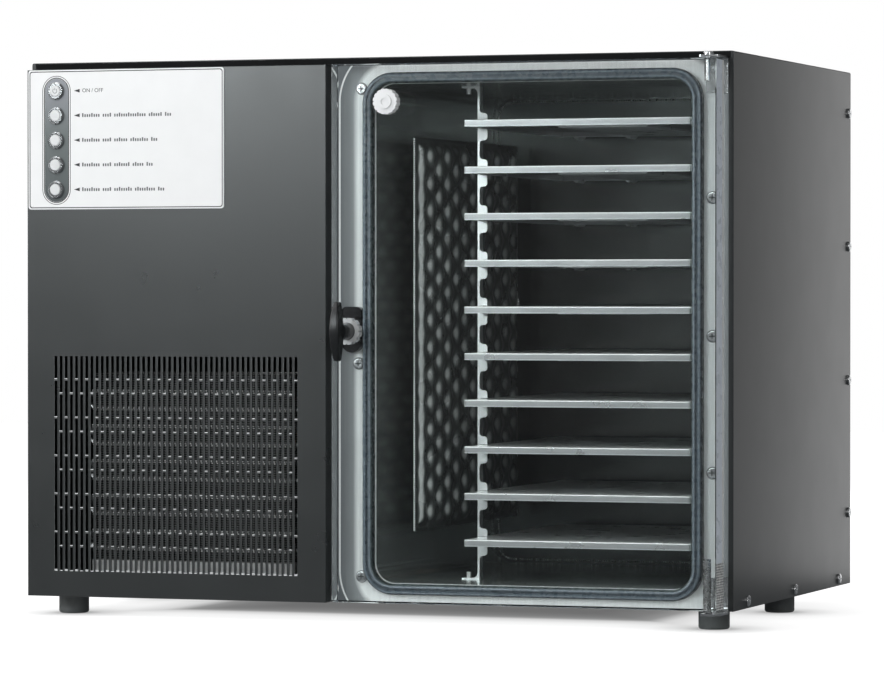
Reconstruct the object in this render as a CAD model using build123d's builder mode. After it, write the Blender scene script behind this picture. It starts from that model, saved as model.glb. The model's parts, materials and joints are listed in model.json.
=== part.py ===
"""Bench-top freeze dryer: cabinet, vacuum chamber with heated shelves, acrylic door and refrigeration set.

Millimetres, +Z up, the front faces -Y.  The origin is on the floor under the middle of the overall box.
left(), front() and base() turn distances from the hood's left face, front plane and bottom edge into
coordinates, so that each piece is placed the way it would be dimensioned on a drawing.
"""

import os

from build123d import *

# ---------------------------------------------------------------- driving dimensions

# hood
hood_w = 750.0
hood_h = 548.5
hood_d = 465.0
sheet_t = 1.5
hood_lip = 5.0
hood_bend_r = 2.0
sheet_gap = 0.3

# feet
foot_h = 20.0
foot_d = 31.0
foot_edge_r = 3.0
foot_stud_d = 6.0
foot_stud_rise = 6.0
foot_dimple_d = 12.4
foot_dimple_depth = 3.0
foot_inset_x = 30.0
foot_front_y = 37.0
foot_rear_y = 285.0

# pan-head screws
screw_head_d = 11.0
screw_head_h = 2.6
screw_d = 6.0
screw_len = 9.0
screw_clear = 0.2
thread_clear = 0.1
screw_dome = 1.2
screw_slot_w = 1.3
screw_slot_len = 6.0
screw_slot_depth = 1.3

# where the screws sit, from the hood's left face, its bottom edge or its rear edge
side_screw_z = 7.5
side_screw_inset = 51.0
rear_screw_inset = 10.0
rear_screw_rises = (76.5, 218.5, 361.5, 504.0)
left_screw_places = ((365.5, 27.0), (362.5, 241.0), (365.5, 516.5))
right_screw_rises = (135.7, 269.4, 404.9)

# base tray and rear panel
tray_wall_h = 16.0
rear_flange = 22.0
vent_slot_w = 3.2
vent_slot_len = 90.0
vent_pitch = 9.0
vent_count = 16
vent_row_z = (400.0, 140.0)

# vacuum chamber
chamber_w = 331.0
chamber_h = 500.0
chamber_depth = 378.0
chamber_right = 39.0
chamber_floor = 21.0
chamber_wall = 4.0
chamber_rear_t = 5.0
chamber_r = 20.0
flange_t = 3.0
flange_front = 2.0
flange_left = 331.0
flange_right_gap = 0.7
flange_bottom = 0.5
flange_top_air = 1.0
rib_t = 6.0
rib_depth = 12.0
rib_foot_inset = 30.0
rib_places = (130.0, 260.0)

# door seal
seal_w = 10.8
seal_offset = 0.4
seal_edge_r = 3.6
seal_groove_w = 1.8
seal_groove_depth = 1.4
seal_gap = 0.3

# door
door_t = 28.0
door_gap = 10.0
door_left = 343.5
door_right = 7.5
door_bottom = 2.5
door_top = 8.5
door_chamfer = 0.8

# hinges
hinge_t = 2.0
hinge_w = 20.5
hinge_leg = 36.0
hinge_pin_inset = 11.5
hinge_pin_d = 6.0
hinge_run = 0.05
hinge_top_depth = 22.0
hinge_stud_d = 8.0
hinge_stud_len = 50.0
hinge_air = 1.2
hinge_shoulder_gap = 0.3
hinge_head_d = 10.0
hinge_head_h = 3.4
hinge_corner = 7.0
hinge_side_air = 0.5
hinge_drop = 0.5
hinge_screw_low = 12.0
hinge_screw_high = 11.6

# latch
latch_x = 363.0
latch_z = 273.5
latch_spindle_d = 8.0
latch_run = 0.08
latch_rosette_d = 27.0
latch_rosette_len = 9.0
latch_rosette_grooves = 12
latch_hub_d = 17.0
latch_hub_gap = 0.3
latch_hub_len = 31.0
latch_grip_len = 59.0
latch_grip_w = 10.4
latch_grip_tip_w = 5.0
latch_grip_tip_r = 2.3
latch_grip_t = 15.0
latch_grip_tip_t = 8.0
latch_grip_r = 2.4
latch_cam_len = 12.5
latch_cam_w = 7.0
latch_cam_hub_r = 5.2
latch_groove_r = 1.2
latch_cam_t = 3.0
latch_cam_gap = 1.2
latch_socket = 22.0
keeper_x = 347.0
keeper_w = 21.0
keeper_top = 24.5
keeper_bottom = 11.0
keeper_r = 5.0
keeper_recess_r = 14.0
keeper_depth = 8.5
keeper_floor = 5.0

# vent valve
vent_x = 404.0
vent_z = 501.8
vent_d = 25.5
vent_len = 11.5
vent_hub_d = 14.0
vent_hub_h = 1.6
vent_stem_d = 10.0
vent_run = 0.08
vent_gap = 0.3
vent_grips = 16
vent_grip_r = 0.9
vent_stem_air = 2.0

# shelves
shelf_count = 10
shelf_pitch = 46.78
shelf_lowest = 64.4
shelf_front = 32.0
shelf_depth = 325.0
shelf_left = 83.3
shelf_right = 11.6
shelf_t = 1.5
shelf_lip_h = 7.0
shelf_hem = 6.0
shelf_corner_r = 2.0
shelf_bend_r = 1.0
heater_w = 93.0
heater_h = 6.4
heater_cover_t = 0.8
heater_cover_lap = 2.0
heater_margin_front = 38.0
heater_margin_rear = 27.0
heater_x = 217.5
plug_d = 6.0
plug_drop = 6.0
plug_places = (98.5, 156.5)
plug_socket = 3.0
plug_air = 0.15

# shelf combs
comb_t = 1.5
comb_web = 12.0
comb_stem = 2.1
comb_lug = 8.2
comb_above = 8.6
comb_below = 19.0
comb_r = 3.6
comb_front_y = 82.0
comb_rear_y = 318.0
comb_foot = 17.0
comb_bend_r = 6.0
comb_slot_air = 0.6
comb_side_air = 0.3
comb_stud_d = 5.0
comb_nut_h = 6.0

# ice condenser
ice_x = 34.5
ice_front = 30.0
ice_d = 327.0
ice_bottom = 51.0
ice_h = 397.0
ice_t = 5.8
ice_seam = 7.0
ice_pitch_y = 53.0
ice_pitch_z = 27.7
ice_dimple_r = 11.5
ice_dimple_floor_r = 3.5
ice_dimple_depth = 1.6
ice_chamfer = 0.9
ice_post_d = 8.0
ice_post_y = (130.0, 293.0)
ice_post_z = (34.0, 363.0)
ice_boss_d = 14.0
ice_boss_h = 6.0

# front fascia
fascia_w = 328.0
fascia_h = 541.0
fascia_depth = 12.0
slot_count = 47
slot_pitch = 5.75
slot_w = 3.2
slot_x = 31.6
slot_bottom = 27.0
slot_top = 247.0
bridge_h = 2.2
bridge_pitch = 39.2
bridge_first = (22.9, 37.4)

# divider wall and right post
divider_x = 352.0
divider_flange_left = 318.0
divider_flange_right = 374.0
divider_foot_w = 14.0
divider_foot_inset = 12.0
post_gap = 2.0
post_depth = 24.0
post_side_gap = 2.0

# control plate and buttons
plate_x = 1.5
plate_z = 397.6
plate_w = 216.8
plate_h = 143.0
plate_t = 1.0
plate_r = 3.0
strip_x = 33.05
strip_z = 468.4
strip_w = 26.3
strip_h = 126.8
strip_depth = 0.4
button_x = 32.6
button_low_z = 417.9
button_pitch = 25.3
button_names = ("defrost", "heating", "vacuum", "condenser", "power")
button_d = 11.4
button_gap = 0.25
button_len = 9.0
button_proud = 0.8
button_edge = 0.6
button_travel = 2.5
bezel_d = 18.0
bezel_h = 2.8
bezel_bevel = 1.4
barrel_d = 16.0
barrel_len = 24.0
board_t = 1.6
board_x = 12.0
board_z = 404.0
board_w = 190.0
board_h = 130.0
barrel_clear = 0.1
button_room = 0.5
standoff_d = 6.0
standoff_inset = 8.0

# condenser coil, fan and shroud
coil_x = 42.0
coil_w = 246.0
coil_low_z = 47.1
coil_front = 32.0
coil_d = 44.0
coil_rows = 10
coil_banks = 2
coil_pitch = 18.05
coil_tube_d = 9.5
coil_top_fin = 19.0
coil_bend = 12.0
coil_stub = 4.0
coil_header_d = 10.0
coil_header_inset = 6.0
coil_header_over = 6.0
coil_fin_pitch = 7.0
coil_fin_groove = 4.6
coil_groove_depth = 4.0
coil_frame_z = 22.4
coil_frame_h = 13.4
coil_frame_lap = 2.0
coil_leg_w = 14.0
shroud_t = 1.2
shroud_depth = 34.0
shroud_z = 22.4
shroud_h = 207.0
fan_x = 171.0
fan_z = 114.0
fan_ring_d = 166.0
fan_ring_len = 26.0
fan_d = 158.0
fan_hub_d = 52.0
fan_blades = 5
fan_blade_w = 46.0
fan_blade_t = 2.0
fan_blade_pitch = 28.0
fan_len = 22.0
fan_shaft_d = 6.0
fan_run = 0.05
motor_d = 76.0
motor_len = 48.0
motor_arm_w = 12.0
motor_arm_t = 3.0
motor_gap = 2.0
motor_bore_len = 20.0
motor_edge_r = 6.0
fan_shaft_room = 2.0
fan_root = 3.0

# compressor
comp_x = 130.0
comp_y = 345.0
comp_r = 84.0
comp_h = 196.0
comp_dome = 46.0
comp_plate_w = 170.0
comp_plate_d = 150.0
comp_plate_t = 3.0
comp_weld_h = 8.0
comp_weld_r = 3.0
comp_edge_r = 30.0
comp_foot_inset = 12.0
comp_port_len = 8.0
comp_port_r = 7.0
comp_box_w = 60.0
comp_box_h = 44.0
grommet_d = 28.0
grommet_h = 18.0
grommet_bolt_d = 8.0
grommet_head_h = 3.0

# refrigerant pipes and filter drier
pipe_r = 4.0
capillary_r = 3.0
pipe_bend = 12.0
pipe_clear = 0.1
pipe_wall_clear = 2.0
suction_z = 96.0
suction_y = 318.0
suction_x = 282.0
suction_comp_z = 150.0
discharge_x = 308.0
discharge_y = 372.0
discharge_z = 155.0
inject_z = 128.0
inject_y = 300.0
drier_r = 12.0
drier_len = 96.0
drier_x = 322.0
drier_y = 196.0
drier_z = 300.0
drier_rise = 30.0
drier_neck = 10.0
clip_t = 2.0
clip_w = 14.0
clip_h = 10.0

# connections at the back
inlet_x = 250.0
inlet_z = 70.0
inlet_w = 27.0
inlet_h = 31.0
inlet_cavity_w = 24.0
inlet_cavity_h = 16.5
inlet_cavity_d = 17.0
inlet_depth = 24.0
inlet_flange_w = 50.0
inlet_flange_h = 34.0
inlet_flange_t = 2.5
inlet_pin_len = 11.0
inlet_pin_w = 2.0
inlet_pin_h = 4.0
inlet_pin_pitch = 7.0
port_x = 394.0
port_z = 300.0
port_bore_d = 25.0
port_tube_d = 30.0
port_flange_d = 40.0
port_flange_t = 6.0
port_reach = 28.0
drain_x = 600.0
drain_z = 27.0
drain_reach = 24.0
drain_bore_d = 6.0
drain_tube_d = 10.0
drain_nut_d = 20.0
drain_nut_t = 6.0
port_clear = 0.5
port_taper = 1.5

# ---------------------------------------------------------------- datums and derived places

door_rear = flange_front - door_gap
door_front = door_rear - door_t
latch_reach = latch_hub_len + latch_grip_t - door_front

front_y = (latch_reach - hood_d - port_reach) / 2
left_x = -hood_w / 2


def left(distance):
    """X at a distance from the hood's left face."""
    return left_x + distance


def front(distance):
    """Y at a distance behind the hood's front plane."""
    return front_y + distance


def base(distance):
    """Z at a distance above the hood's bottom edge."""
    return foot_h + distance


def block(x_range, y_range, z_range, mode=Mode.ADD):
    """Put a block between two corners into the part being built."""
    (x0, x1), (y0, y1), (z0, z1) = x_range, y_range, z_range
    with Locations(((x0 + x1) / 2, (y0 + y1) / 2, (z0 + z1) / 2)):
        Box(x1 - x0, y1 - y0, z1 - z0, mode=mode)


def rod_y(x, z, radius, y0, y1, mode=Mode.ADD):
    """Put a round rod along Y into the part being built."""
    with Locations((x, (y0 + y1) / 2, z)):
        Cylinder(radius, y1 - y0, rotation=(90, 0, 0), mode=mode)


def rod_x(y, z, radius, x0, x1, mode=Mode.ADD):
    """Put a round rod along X into the part being built."""
    with Locations(((x0 + x1) / 2, y, z)):
        Cylinder(radius, x1 - x0, rotation=(0, 90, 0), mode=mode)


def rod_z(x, y, radius, z0, z1, mode=Mode.ADD):
    """Put a round rod along Z into the part being built."""
    with Locations((x, y, (z0 + z1) / 2)):
        Cylinder(radius, z1 - z0, mode=mode)


def save(part, name):
    """Label a finished piece and write its STEP file."""
    part.label = name
    export_step(part, f"parts/{name}.step")


os.makedirs("parts", exist_ok=True)

right_x = left(hood_w)
roof_z = base(hood_h)
back_y = front(hood_d)

inner_left = left(sheet_t + sheet_gap)
inner_right = left(hood_w - sheet_t - sheet_gap)
inner_top = roof_z - sheet_t - sheet_gap
tray_floor = base(sheet_t)
tray_front = front(flange_front + flange_t)
tray_back = back_y - sheet_t
flange_z = (base(flange_bottom), roof_z - sheet_t - flange_top_air)

screw_z = base(side_screw_z)
thread_r = screw_d / 2 + thread_clear
screw_hole_r = screw_d / 2 + screw_clear
side_screw_y = [front(y) for y in (side_screw_inset, hood_d / 2, hood_d - side_screw_inset)]
rear_screw_y = back_y - rear_screw_inset
rear_screw_z = [base(z) for z in rear_screw_rises]
side_holes = [(y, screw_z) for y in side_screw_y] + [(rear_screw_y, z) for z in rear_screw_z]

chamber_x1 = left(hood_w - chamber_right)
chamber_x0 = chamber_x1 - chamber_w
chamber_z0 = base(chamber_floor)
chamber_z1 = chamber_z0 + chamber_h
chamber_mid_x = (chamber_x0 + chamber_x1) / 2
chamber_mid_z = (chamber_z0 + chamber_z1) / 2
shelf_tops = [base(shelf_lowest + n * shelf_pitch) for n in range(shelf_count)]
plug_centres = [(chamber_x0 + x, top - plug_drop) for x in plug_places for top in shelf_tops]
chamber_back = front(flange_front + chamber_depth)
chamber_outer_back = chamber_back + chamber_rear_t

door_x0 = left(door_left)
door_x1 = left(hood_w - door_right)
door_z0 = base(door_bottom)
door_z1 = roof_z - door_top
door_y0 = front(door_front)
door_y1 = front(door_rear)
pin_x = door_x1 - hinge_pin_inset
pin_y = (door_y0 + door_y1) / 2
pin_hole_r = hinge_pin_d / 2 + hinge_run
latch_cx = left(latch_x)
latch_cz = base(latch_z)
vent_cx = left(vent_x)
vent_cz = base(vent_z)

hinge_x0 = right_x - hood_lip - hinge_w
hinge_x1 = hinge_x0 + hinge_w - hinge_side_air
hinge_top_z = door_z1 + hinge_air
hinge_bottom_z = base(-hinge_t - hinge_drop)
flange_y = front(flange_front)
leg_y = flange_y - hinge_t

left_screws = [(left(x), base(z)) for x, z in left_screw_places]
right_screws = [(pin_x, base(z)) for z in right_screw_rises]
hinge_screws = [(pin_x, base(hinge_screw_low)), (pin_x, hinge_top_z + hinge_t - hinge_screw_high)]
flange_holes = left_screws + right_screws + hinge_screws

feet = {
    "foot_front_left": (left(foot_inset_x), front(foot_front_y)),
    "foot_front_right": (left(hood_w - foot_inset_x), front(foot_front_y)),
    "foot_rear_left": (left(foot_inset_x), front(foot_rear_y)),
    "foot_rear_right": (left(hood_w - foot_inset_x), front(foot_rear_y)),
}

comp_cx = left(comp_x)
comp_cy = front(comp_y)
grommet_dx = comp_plate_w / 2 - comp_foot_inset
grommet_dy = comp_plate_d / 2 - comp_foot_inset
grommet_places = [(comp_cx + sx * grommet_dx, comp_cy + sy * grommet_dy) for sx in (-1, 1) for sy in (-1, 1)]

suction_hole = (front(suction_y), base(suction_z))
inject_hole = (front(inject_y), base(inject_z))
port_centre = (left(port_x), base(port_z))
drain_centre = (left(drain_x), base(drain_z))
inlet_centre = (left(inlet_x), base(inlet_z))

# ---------------------------------------------------------------- hood

with BuildPart() as hood:
    block((left_x, right_x), (front_y, back_y), (base(0), roof_z))
    fillet(hood.edges().filter_by(Axis.Y).group_by(Axis.Z)[-1], hood_bend_r)
    block(
        (left(sheet_t), right_x - sheet_t),
        (front(sheet_t), back_y + 1),
        (base(0) - 1, roof_z - sheet_t),
        Mode.SUBTRACT,
    )
    block(
        (left(hood_lip), right_x - hood_lip),
        (front_y - 1, front(sheet_t + 1)),
        (base(0) - 1, roof_z - hood_lip),
        Mode.SUBTRACT,
    )
    for y, z in side_holes:
        rod_x(y, z, screw_hole_r, left_x - 1, left(sheet_t + 1), Mode.SUBTRACT)
        rod_x(y, z, screw_hole_r, right_x - sheet_t - 1, right_x + 1, Mode.SUBTRACT)
save(hood.part, "hood")

# ---------------------------------------------------------------- base tray

tray_wall_z = base(tray_wall_h)
with BuildPart() as base_tray:
    block((inner_left, inner_right), (tray_front, tray_back), (base(0), tray_wall_z))
    block(
        (inner_left + sheet_t, inner_right - sheet_t),
        (tray_front + sheet_t, tray_back - sheet_t),
        (tray_floor, tray_wall_z + 1),
        Mode.SUBTRACT,
    )
    for y in side_screw_y:
        rod_x(y, screw_z, thread_r, inner_left - 1, inner_left + sheet_t + 1, Mode.SUBTRACT)
        rod_x(y, screw_z, thread_r, inner_right - sheet_t - 1, inner_right + 1, Mode.SUBTRACT)
    rod_y(*hinge_screws[0], thread_r, tray_front - 1, tray_front + sheet_t + 1, Mode.SUBTRACT)
    for x, y in feet.values():
        rod_z(x, y, foot_stud_d / 2 + screw_clear, base(-1), tray_floor + 1, Mode.SUBTRACT)
    for x, y in grommet_places:
        rod_z(x, y, grommet_bolt_d / 2 + screw_clear, base(-1), tray_floor + 1, Mode.SUBTRACT)
save(base_tray.part, "base_tray")

# ---------------------------------------------------------------- rear panel

with BuildPart() as rear_panel:
    block((inner_left, inner_right), (back_y - sheet_t, back_y), (base(0), inner_top))
    flange_low = tray_wall_z + sheet_gap
    for x0 in (inner_left, inner_right - sheet_t):
        block((x0, x0 + sheet_t), (back_y - rear_flange, back_y), (flange_low, inner_top))
    block((inner_left, inner_right), (back_y - rear_flange, back_y), (inner_top - sheet_t, inner_top))
    for z in rear_screw_z:
        rod_x(rear_screw_y, z, thread_r, inner_left - 1, inner_left + sheet_t + 1, Mode.SUBTRACT)
        rod_x(rear_screw_y, z, thread_r, inner_right - sheet_t - 1, inner_right + 1, Mode.SUBTRACT)
    for row_z in vent_row_z:
        with BuildSketch(Plane.XZ.offset(-back_y - 1)) as vents:
            with Locations((comp_cx, base(row_z))):
                with GridLocations(vent_pitch, 1, vent_count, 1):
                    SlotOverall(vent_slot_len, vent_slot_w, rotation=90)
        extrude(vents.sketch, amount=sheet_t + 2, mode=Mode.SUBTRACT)
    rod_y(*port_centre, port_tube_d / 2 + port_clear, back_y - sheet_t - 1, back_y + 1, Mode.SUBTRACT)
    rod_y(*drain_centre, drain_tube_d / 2 + port_clear, back_y - sheet_t - 1, back_y + 1, Mode.SUBTRACT)
    block(
        (inlet_centre[0] - inlet_w / 2, inlet_centre[0] + inlet_w / 2),
        (back_y - sheet_t - 1, back_y + 1),
        (inlet_centre[1] - inlet_h / 2, inlet_centre[1] + inlet_h / 2),
        Mode.SUBTRACT,
    )
save(rear_panel.part, "rear_panel")

# ---------------------------------------------------------------- front fascia

fascia_x1 = left(fascia_w)
fascia_z1 = base(fascia_h)
fascia_y = front(-fascia_depth)
button_places = [(left(button_x), base(button_low_z + n * button_pitch)) for n in range(len(button_names))]
barrel_back = front(-fascia_depth - plate_t + barrel_len)
board_corners = [
    (left(board_x + dx), base(board_z + dz))
    for dx in (standoff_inset, board_w - standoff_inset)
    for dz in (standoff_inset, board_h - standoff_inset)
]

slot_segments = []
for n in range(slot_count):
    upper = slot_top
    lower = slot_top - bridge_first[n % 2]
    while upper > slot_bottom + 1:
        slot_segments.append((slot_x + n * slot_pitch, max(lower, slot_bottom), upper))
        upper = lower - bridge_h
        lower = upper + bridge_h - bridge_pitch

with BuildPart() as front_fascia:
    block((left_x, fascia_x1), (fascia_y, fascia_y + sheet_t), (base(0), fascia_z1))
    for x0 in (left_x, fascia_x1 - sheet_t):
        block((x0, x0 + sheet_t), (fascia_y, front_y), (base(0), fascia_z1))
    for z0 in (base(0), fascia_z1 - sheet_t):
        block((left_x, fascia_x1), (fascia_y, front_y), (z0, z0 + sheet_t))
    block((fascia_x1 - sheet_t, fascia_x1), (front_y, tray_front), (tray_wall_z + sheet_gap, fascia_z1))
    with BuildSketch(Plane.XZ.offset(-fascia_y + 1)) as slots:
        for x, z0, z1 in slot_segments:
            with Locations((left(x), base((z0 + z1) / 2))):
                Rectangle(slot_w, z1 - z0)
    extrude(slots.sketch, amount=-sheet_t - 2, mode=Mode.SUBTRACT)
    for x, z in button_places:
        rod_y(x, z, barrel_d / 2 + barrel_clear, fascia_y - 1, fascia_y + sheet_t + 1, Mode.SUBTRACT)
    for x, z in board_corners:
        rod_y(x, z, standoff_d / 2, fascia_y + sheet_t, barrel_back)
save(front_fascia.part, "front_fascia")

# ---------------------------------------------------------------- divider wall and right post

divider_x0 = left(divider_x)
with BuildPart() as divider_wall:
    block(
        (divider_x0, divider_x0 + sheet_t),
        (tray_front + sheet_t, tray_back - sheet_gap),
        (tray_floor, inner_top),
    )
    block(
        (left(divider_flange_left), left(divider_flange_right)),
        (tray_front, tray_front + sheet_t),
        (tray_wall_z + sheet_gap, inner_top),
    )
    block(
        (divider_x0 - divider_foot_w, divider_x0),
        (tray_front + divider_foot_inset, tray_back - divider_foot_inset),
        (tray_floor, tray_floor + sheet_t),
    )
    block(
        (divider_x0 - divider_foot_w - 1, divider_x0 + sheet_t + 1),
        (tray_back - sheet_t - sheet_gap, tray_back),
        (base(0), tray_wall_z + sheet_gap),
        Mode.SUBTRACT,
    )
    block(
        (divider_x0 - 1, divider_x0 + sheet_t + 1),
        (back_y - rear_flange - sheet_gap, back_y),
        (inner_top - sheet_t - sheet_gap, roof_z),
        Mode.SUBTRACT,
    )
    for x, z in left_screws:
        rod_y(x, z, thread_r, tray_front - 1, tray_front + sheet_t + 1, Mode.SUBTRACT)
    for hole, radius in ((suction_hole, pipe_r), (inject_hole, capillary_r)):
        rod_x(*hole, radius + pipe_wall_clear, divider_x0 - 1, divider_x0 + sheet_t + 1, Mode.SUBTRACT)
save(divider_wall.part, "divider_wall")

post_x0 = chamber_x1 + chamber_wall + post_gap
with BuildPart() as right_post:
    block(
        (post_x0, inner_right - post_side_gap),
        (tray_front, tray_front + sheet_t),
        (tray_wall_z + sheet_gap, inner_top),
    )
    block(
        (post_x0, post_x0 + sheet_t),
        (tray_front + sheet_t, tray_front + post_depth),
        (tray_floor, inner_top),
    )
    for x, z in right_screws + hinge_screws[1:]:
        rod_y(x, z, thread_r, tray_front - 1, tray_front + sheet_t + 1, Mode.SUBTRACT)
save(right_post.part, "right_post")

# ---------------------------------------------------------------- feet

for foot_name, (x, y) in feet.items():
    with BuildPart() as foot:
        rod_z(x, y, foot_d / 2, 0, foot_h)
        fillet(foot.edges().filter_by(GeomType.CIRCLE).sort_by(Axis.Z)[0], foot_edge_r)
        rod_z(x, y, foot_dimple_d / 2, -1, foot_dimple_depth, Mode.SUBTRACT)
        rod_z(x, y, foot_stud_d / 2, foot_h, tray_floor + foot_stud_rise)
    save(foot.part, foot_name)

# ---------------------------------------------------------------- vacuum chamber

chamber_centre = (chamber_mid_x, chamber_mid_z)
flange_x = (left(flange_left), inner_right - flange_right_gap)
shell_front = flange_y + flange_t
shell_r = chamber_r + chamber_wall


def chamber_outline(grow, radius):
    """The chamber's rounded outline, grown outwards by a margin, as part of the sketch being drawn."""
    with Locations(chamber_centre):
        RectangleRounded(chamber_w + 2 * grow, chamber_h + 2 * grow, radius)


with BuildPart() as chamber_flange:
    block(flange_x, (flange_y, shell_front), flange_z)
    with BuildSketch(Plane.XZ.offset(-flange_y + 1)) as mouth_outline:
        chamber_outline(0, chamber_r)
    extrude(mouth_outline.sketch, amount=-(flange_t + 2), mode=Mode.SUBTRACT)
    for x, z in flange_holes:
        rod_y(x, z, screw_hole_r, flange_y - 1, shell_front + 1, Mode.SUBTRACT)
save(chamber_flange.part, "chamber_flange")

with BuildPart() as chamber_shell:
    with BuildSketch(Plane.XZ.offset(-shell_front)) as shell_outline:
        chamber_outline(chamber_wall, shell_r)
    extrude(shell_outline.sketch, amount=-(chamber_back - shell_front))
    for place in rib_places:
        with BuildSketch(Plane.XZ.offset(-front(place))) as rib_outline:
            chamber_outline(chamber_wall + rib_depth, shell_r)
        extrude(rib_outline.sketch, amount=-rib_t)
        block(
            (chamber_x0 + rib_foot_inset, chamber_x1 - rib_foot_inset),
            (front(place), front(place) + rib_t),
            (tray_floor, chamber_z0 - chamber_wall),
        )
    with BuildSketch(Plane.XZ.offset(-shell_front + 1)) as cavity_outline:
        chamber_outline(0, chamber_r)
    extrude(cavity_outline.sketch, amount=-(chamber_back - shell_front + 2), mode=Mode.SUBTRACT)
    for hole, radius in ((suction_hole, pipe_r), (inject_hole, capillary_r)):
        rod_x(*hole, radius + pipe_clear, chamber_x0 - chamber_wall - 1, chamber_x0 + 1, Mode.SUBTRACT)
save(chamber_shell.part, "chamber_shell")

with BuildPart() as chamber_back_plate:
    with BuildSketch(Plane.XZ.offset(-chamber_back)) as back_outline:
        chamber_outline(chamber_wall, shell_r)
    extrude(back_outline.sketch, amount=-chamber_rear_t)
    rod_y(*port_centre, port_bore_d / 2, chamber_back - 1, chamber_outer_back + 1, Mode.SUBTRACT)
    rod_y(*drain_centre, drain_bore_d / 2, chamber_back - 1, chamber_outer_back + 1, Mode.SUBTRACT)
    socket_back = chamber_back + plug_socket + plug_air
    for x, z in plug_centres:
        rod_y(x, z, plug_d / 2 + plug_air, chamber_back - 1, socket_back, Mode.SUBTRACT)
save(chamber_back_plate.part, "chamber_back_plate")

# ---------------------------------------------------------------- door seal

seal_in_w = chamber_w + 2 * seal_offset
seal_in_h = chamber_h + 2 * seal_offset
seal_in_r = chamber_r + seal_offset
seal_thick = door_gap - seal_gap
with BuildPart() as door_seal:
    with BuildSketch(Plane.XZ.offset(-flange_y)) as seal_outline:
        with Locations(chamber_centre):
            RectangleRounded(seal_in_w + 2 * seal_w, seal_in_h + 2 * seal_w, seal_in_r + seal_w)
            RectangleRounded(seal_in_w, seal_in_h, seal_in_r, mode=Mode.SUBTRACT)
    extrude(seal_outline.sketch, amount=seal_thick)
    fillet(door_seal.faces().sort_by(Axis.Y)[0].edges(), seal_edge_r)
    groove_in = (seal_w - seal_groove_w) / 2
    with BuildSketch(Plane.XZ.offset(-flange_y + seal_thick)) as groove_outline:
        with Locations(chamber_centre):
            RectangleRounded(
                seal_in_w + 2 * (groove_in + seal_groove_w),
                seal_in_h + 2 * (groove_in + seal_groove_w),
                seal_in_r + groove_in + seal_groove_w,
            )
            RectangleRounded(
                seal_in_w + 2 * groove_in,
                seal_in_h + 2 * groove_in,
                seal_in_r + groove_in,
                mode=Mode.SUBTRACT,
            )
    extrude(groove_outline.sketch, amount=-seal_groove_depth, mode=Mode.SUBTRACT)
save(door_seal.part, "door_seal")

# ---------------------------------------------------------------- shelves

shelf_x0 = chamber_x0 + shelf_left
shelf_x1 = chamber_x1 - shelf_right
shelf_y0 = front(shelf_front)
shelf_y1 = front(shelf_front + shelf_depth)
heater_x0 = chamber_x0 + heater_x - heater_w / 2
heater_y0 = shelf_y0 + heater_margin_front

for number, top in enumerate(reversed(shelf_tops), start=1):
    low = top - shelf_lip_h
    sheet_z = top - shelf_t
    with BuildPart() as shelf:
        block((shelf_x0, shelf_x1), (shelf_y0, shelf_y1), (low, top))
        fillet(shelf.edges().filter_by(Axis.Z), shelf_corner_r)
        fillet(shelf.faces().sort_by(Axis.Z)[-1].edges(), shelf_bend_r)
        block(
            (shelf_x0 + shelf_t, shelf_x1 - shelf_t),
            (shelf_y0 + shelf_t, shelf_y1 - shelf_t),
            (low - 1, sheet_z),
            Mode.SUBTRACT,
        )
        block(
            (shelf_x0 + shelf_t, shelf_x1 - shelf_t),
            (shelf_y0 + shelf_t, shelf_y0 + shelf_hem),
            (low, low + shelf_t),
        )
        block(
            (heater_x0, heater_x0 + heater_w),
            (heater_y0, shelf_y1 - heater_margin_rear),
            (sheet_z - heater_h, sheet_z),
        )
        block(
            (heater_x0, heater_x0 + heater_w),
            (heater_y0 - heater_cover_lap, heater_y0),
            (sheet_z - heater_h, sheet_z - heater_h + heater_cover_t),
        )
        for x in plug_places:
            rod_y(chamber_x0 + x, top - plug_drop, plug_d / 2, shelf_y1 - shelf_t, chamber_back + plug_socket)
    save(shelf.part, f"shelf_{number:02d}")

# ---------------------------------------------------------------- shelf combs


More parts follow.
